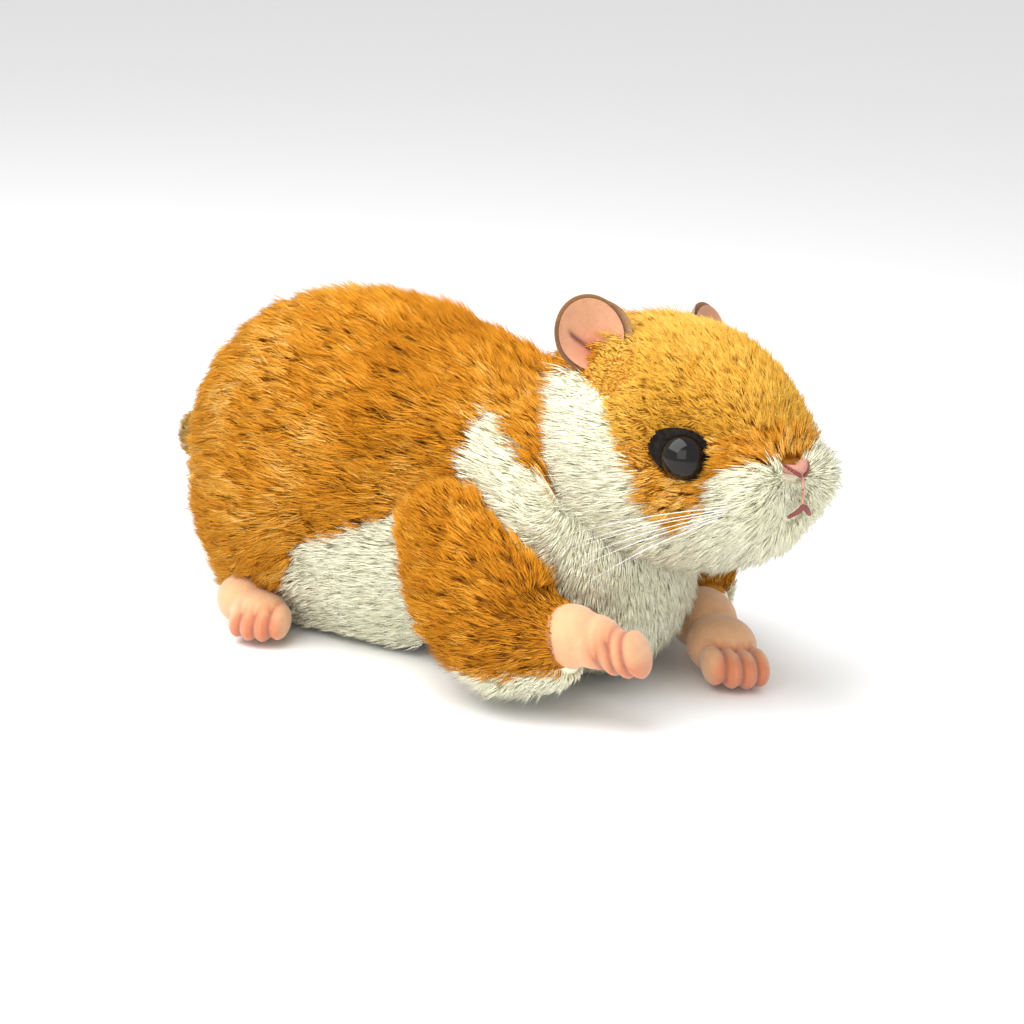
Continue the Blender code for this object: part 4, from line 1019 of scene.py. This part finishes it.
def stranded(name, dark, light):
    material, tree, shader = blank(name)
    place = tree.nodes.new("ShaderNodeTexCoord")
    wave = tree.nodes.new("ShaderNodeTexWave")
    wave.inputs["Scale"].default_value = 700.0
    wave.inputs["Distortion"].default_value = 1.5
    tree.links.new(place.outputs["Object"], wave.inputs["Vector"])
    ramp = tree.nodes.new("ShaderNodeValToRGB")
    ramp.color_ramp.elements[0].color = (*dark, 1)
    ramp.color_ramp.elements[1].color = (*light, 1)
    tree.links.new(wave.outputs["Fac"], ramp.inputs["Fac"])
    tree.links.new(ramp.outputs["Color"], shader.inputs["Base Color"])
    relief = tree.nodes.new("ShaderNodeBump")
    relief.inputs["Strength"].default_value = 0.6
    relief.inputs["Distance"].default_value = 0.0002
    tree.links.new(wave.outputs["Fac"], relief.inputs["Height"])
    tree.links.new(relief.outputs["Normal"], shader.inputs["Normal"])
    shader.inputs["Roughness"].default_value = 0.55
    return material


PINK_THREAD = stranded("pink_thread", (0.50, 0.20, 0.15), (0.72, 0.36, 0.27))
RED_THREAD = stranded("red_thread", (0.16, 0.03, 0.03), (0.34, 0.09, 0.07))


def stitch(name, rows, material, cap=0.2):
    """A band of stitches along rows of (x, y, z, half width, half thickness) in the head."""
    band = shaped_ball(name, 20, 28, lambda unit: from_head(limb_form(unit, rows, cap=cap)))
    band.data.materials.append(material)
    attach(band, "head")
    return band


nose = stitch(
    "nose_pad",
    [(-3.4, -39.6, -4.4, 1.5, 1.2), (0, -41.2, -5.0, 2.0, 1.5), (3.4, -39.9, -3.6, 1.5, 1.2)], PINK_THREAD, 0.3,
)
for name, side in (("right", -1), ("left", 1)):
    stitch(
        f"nostril_{name}",
        [(side * 1.0, -42.6, -6.6, 0.6, 0.5), (side * 2.8, -42.0, -5.2, 0.7, 0.5), (side * 4.8, -40.6, -3.4, 0.5, 0.4)],
        RED_THREAD,
    )
philtrum = stitch(
    "philtrum", [(0, -42.4, -7.0, 0.35, 0.4), (0, -42.6, -10.5, 0.3, 0.4), (0, -42.2, -14.2, 0.35, 0.4)], PINK_THREAD
)
mouth = stitch(
    "mouth_thread",
    [(-4.4, -40.8, -17.4, 0.6, 0.5), (-2.0, -42.0, -16.2, 0.8, 0.7), (0, -42.5, -15.0, 0.8, 0.7),
     (2.0, -42.0, -16.2, 0.8, 0.7), (4.4, -40.8, -17.6, 0.6, 0.5)],
    RED_THREAD, 0.1,
)
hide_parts("nose")
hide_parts("mouth_stitch")


# ---------------------------------------------------------------- whiskers
# Six clear nylon whiskers are knotted in each pad and sweep back along the cheek.

CLEAR_NYLON, tree, shader = blank("clear_nylon")
speckle(tree, shader, ((0.86, 0.86, 0.84), (0.96, 0.96, 0.95)), 200.0)
shader.inputs["Roughness"].default_value = 0.2
for name, side in (("right", -1), ("left", 1)):
    strands = []
    for k, tip in enumerate([(43, 5, -19.5), (43.5, 3, -22), (43, 4.5, -23.6), (43, 2.5, -26), (42.5, 3.5, -29), (42, 0.5, -33)]):
        tip = np.array(tip, float)
        root = np.array((20.5, -33.0, -14.5)) + np.array((0.5, 0.9, -0.7)) * (k - 2.5)
        middle = (root + tip) / 2 + np.array((5.5, -3.5, 1.6))
        rows = [
            (side * p[0], p[1], p[2], w, w) for p, w in ((root, 0.11), (middle, 0.085), (tip, 0.03))
        ]
        strands.append(shaped_ball(f"whisker_{name}_{k}", 6, 14, lambda unit: from_head(limb_form(unit, rows, cap=0.05))))
    bpy.ops.object.select_all(action="DESELECT")
    for strand in strands:
        strand.select_set(True)
    bpy.context.view_layer.objects.active = strands[0]
    bpy.ops.object.join()
    whiskers = bpy.context.object
    whiskers.name = whiskers.data.name = f"nylon_whiskers_{name}"
    whiskers.data.materials.append(CLEAR_NYLON)
    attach(whiskers, "head")
    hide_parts(f"whiskers_{name}")


# ---------------------------------------------------------------- inner works
# Everything inside keeps its CAD shape: a moulded housing with the cells, boards, motor and
# gears, and the filling round it. Each material gets its own grain.


def inner(name, dark, light, scale, rough, metallic=0.0, bump=0.2, bump_scale=None):
    material, tree, shader = blank(name)
    speckle(tree, shader, (dark, light), scale, bump=bump, bump_scale=bump_scale, rough=rough)
    shader.inputs["Metallic"].default_value = metallic
    return material


INNER = {
    "filling": inner("polyester_fibre", (0.78, 0.78, 0.75), (0.92, 0.92, 0.90), 260.0, (0.9, 1.0), bump=0.9),
    "housing": inner("moulded_shell", (0.50, 0.50, 0.48), (0.58, 0.58, 0.56), 500.0, (0.42, 0.55), bump_scale=4000.0),
    "dark_plastic": inner("dark_moulding", (0.02, 0.02, 0.022), (0.045, 0.045, 0.05), 500.0, (0.4, 0.55)),
    "acetal": inner("acetal_gears", (0.80, 0.80, 0.76), (0.88, 0.88, 0.85), 300.0, (0.3, 0.42)),
    "board": inner("fibreglass_board", (0.010, 0.11, 0.035), (0.03, 0.20, 0.07), 900.0, (0.3, 0.5)),
    "steel": inner("bright_steel", (0.55, 0.55, 0.56), (0.72, 0.72, 0.73), 700.0, (0.2, 0.38), 1.0, 0.1),
    "cell_jacket": inner("cell_wrap", (0.10, 0.10, 0.11), (0.16, 0.16, 0.17), 300.0, (0.28, 0.4), 0.4, 0.05),
    "washer_plastic": inner("washer_moulding", (0.78, 0.78, 0.74), (0.86, 0.86, 0.82), 400.0, (0.35, 0.5)),
    "lead_jacket": inner("lead_jacket_vinyl", (0.35, 0.02, 0.02), (0.5, 0.04, 0.03), 500.0, (0.4, 0.55)),
}
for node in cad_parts.values():
    for slot in node.material_slots:
        slot.material = INNER.get(slot.material.name.split(".")[0], slot.material)
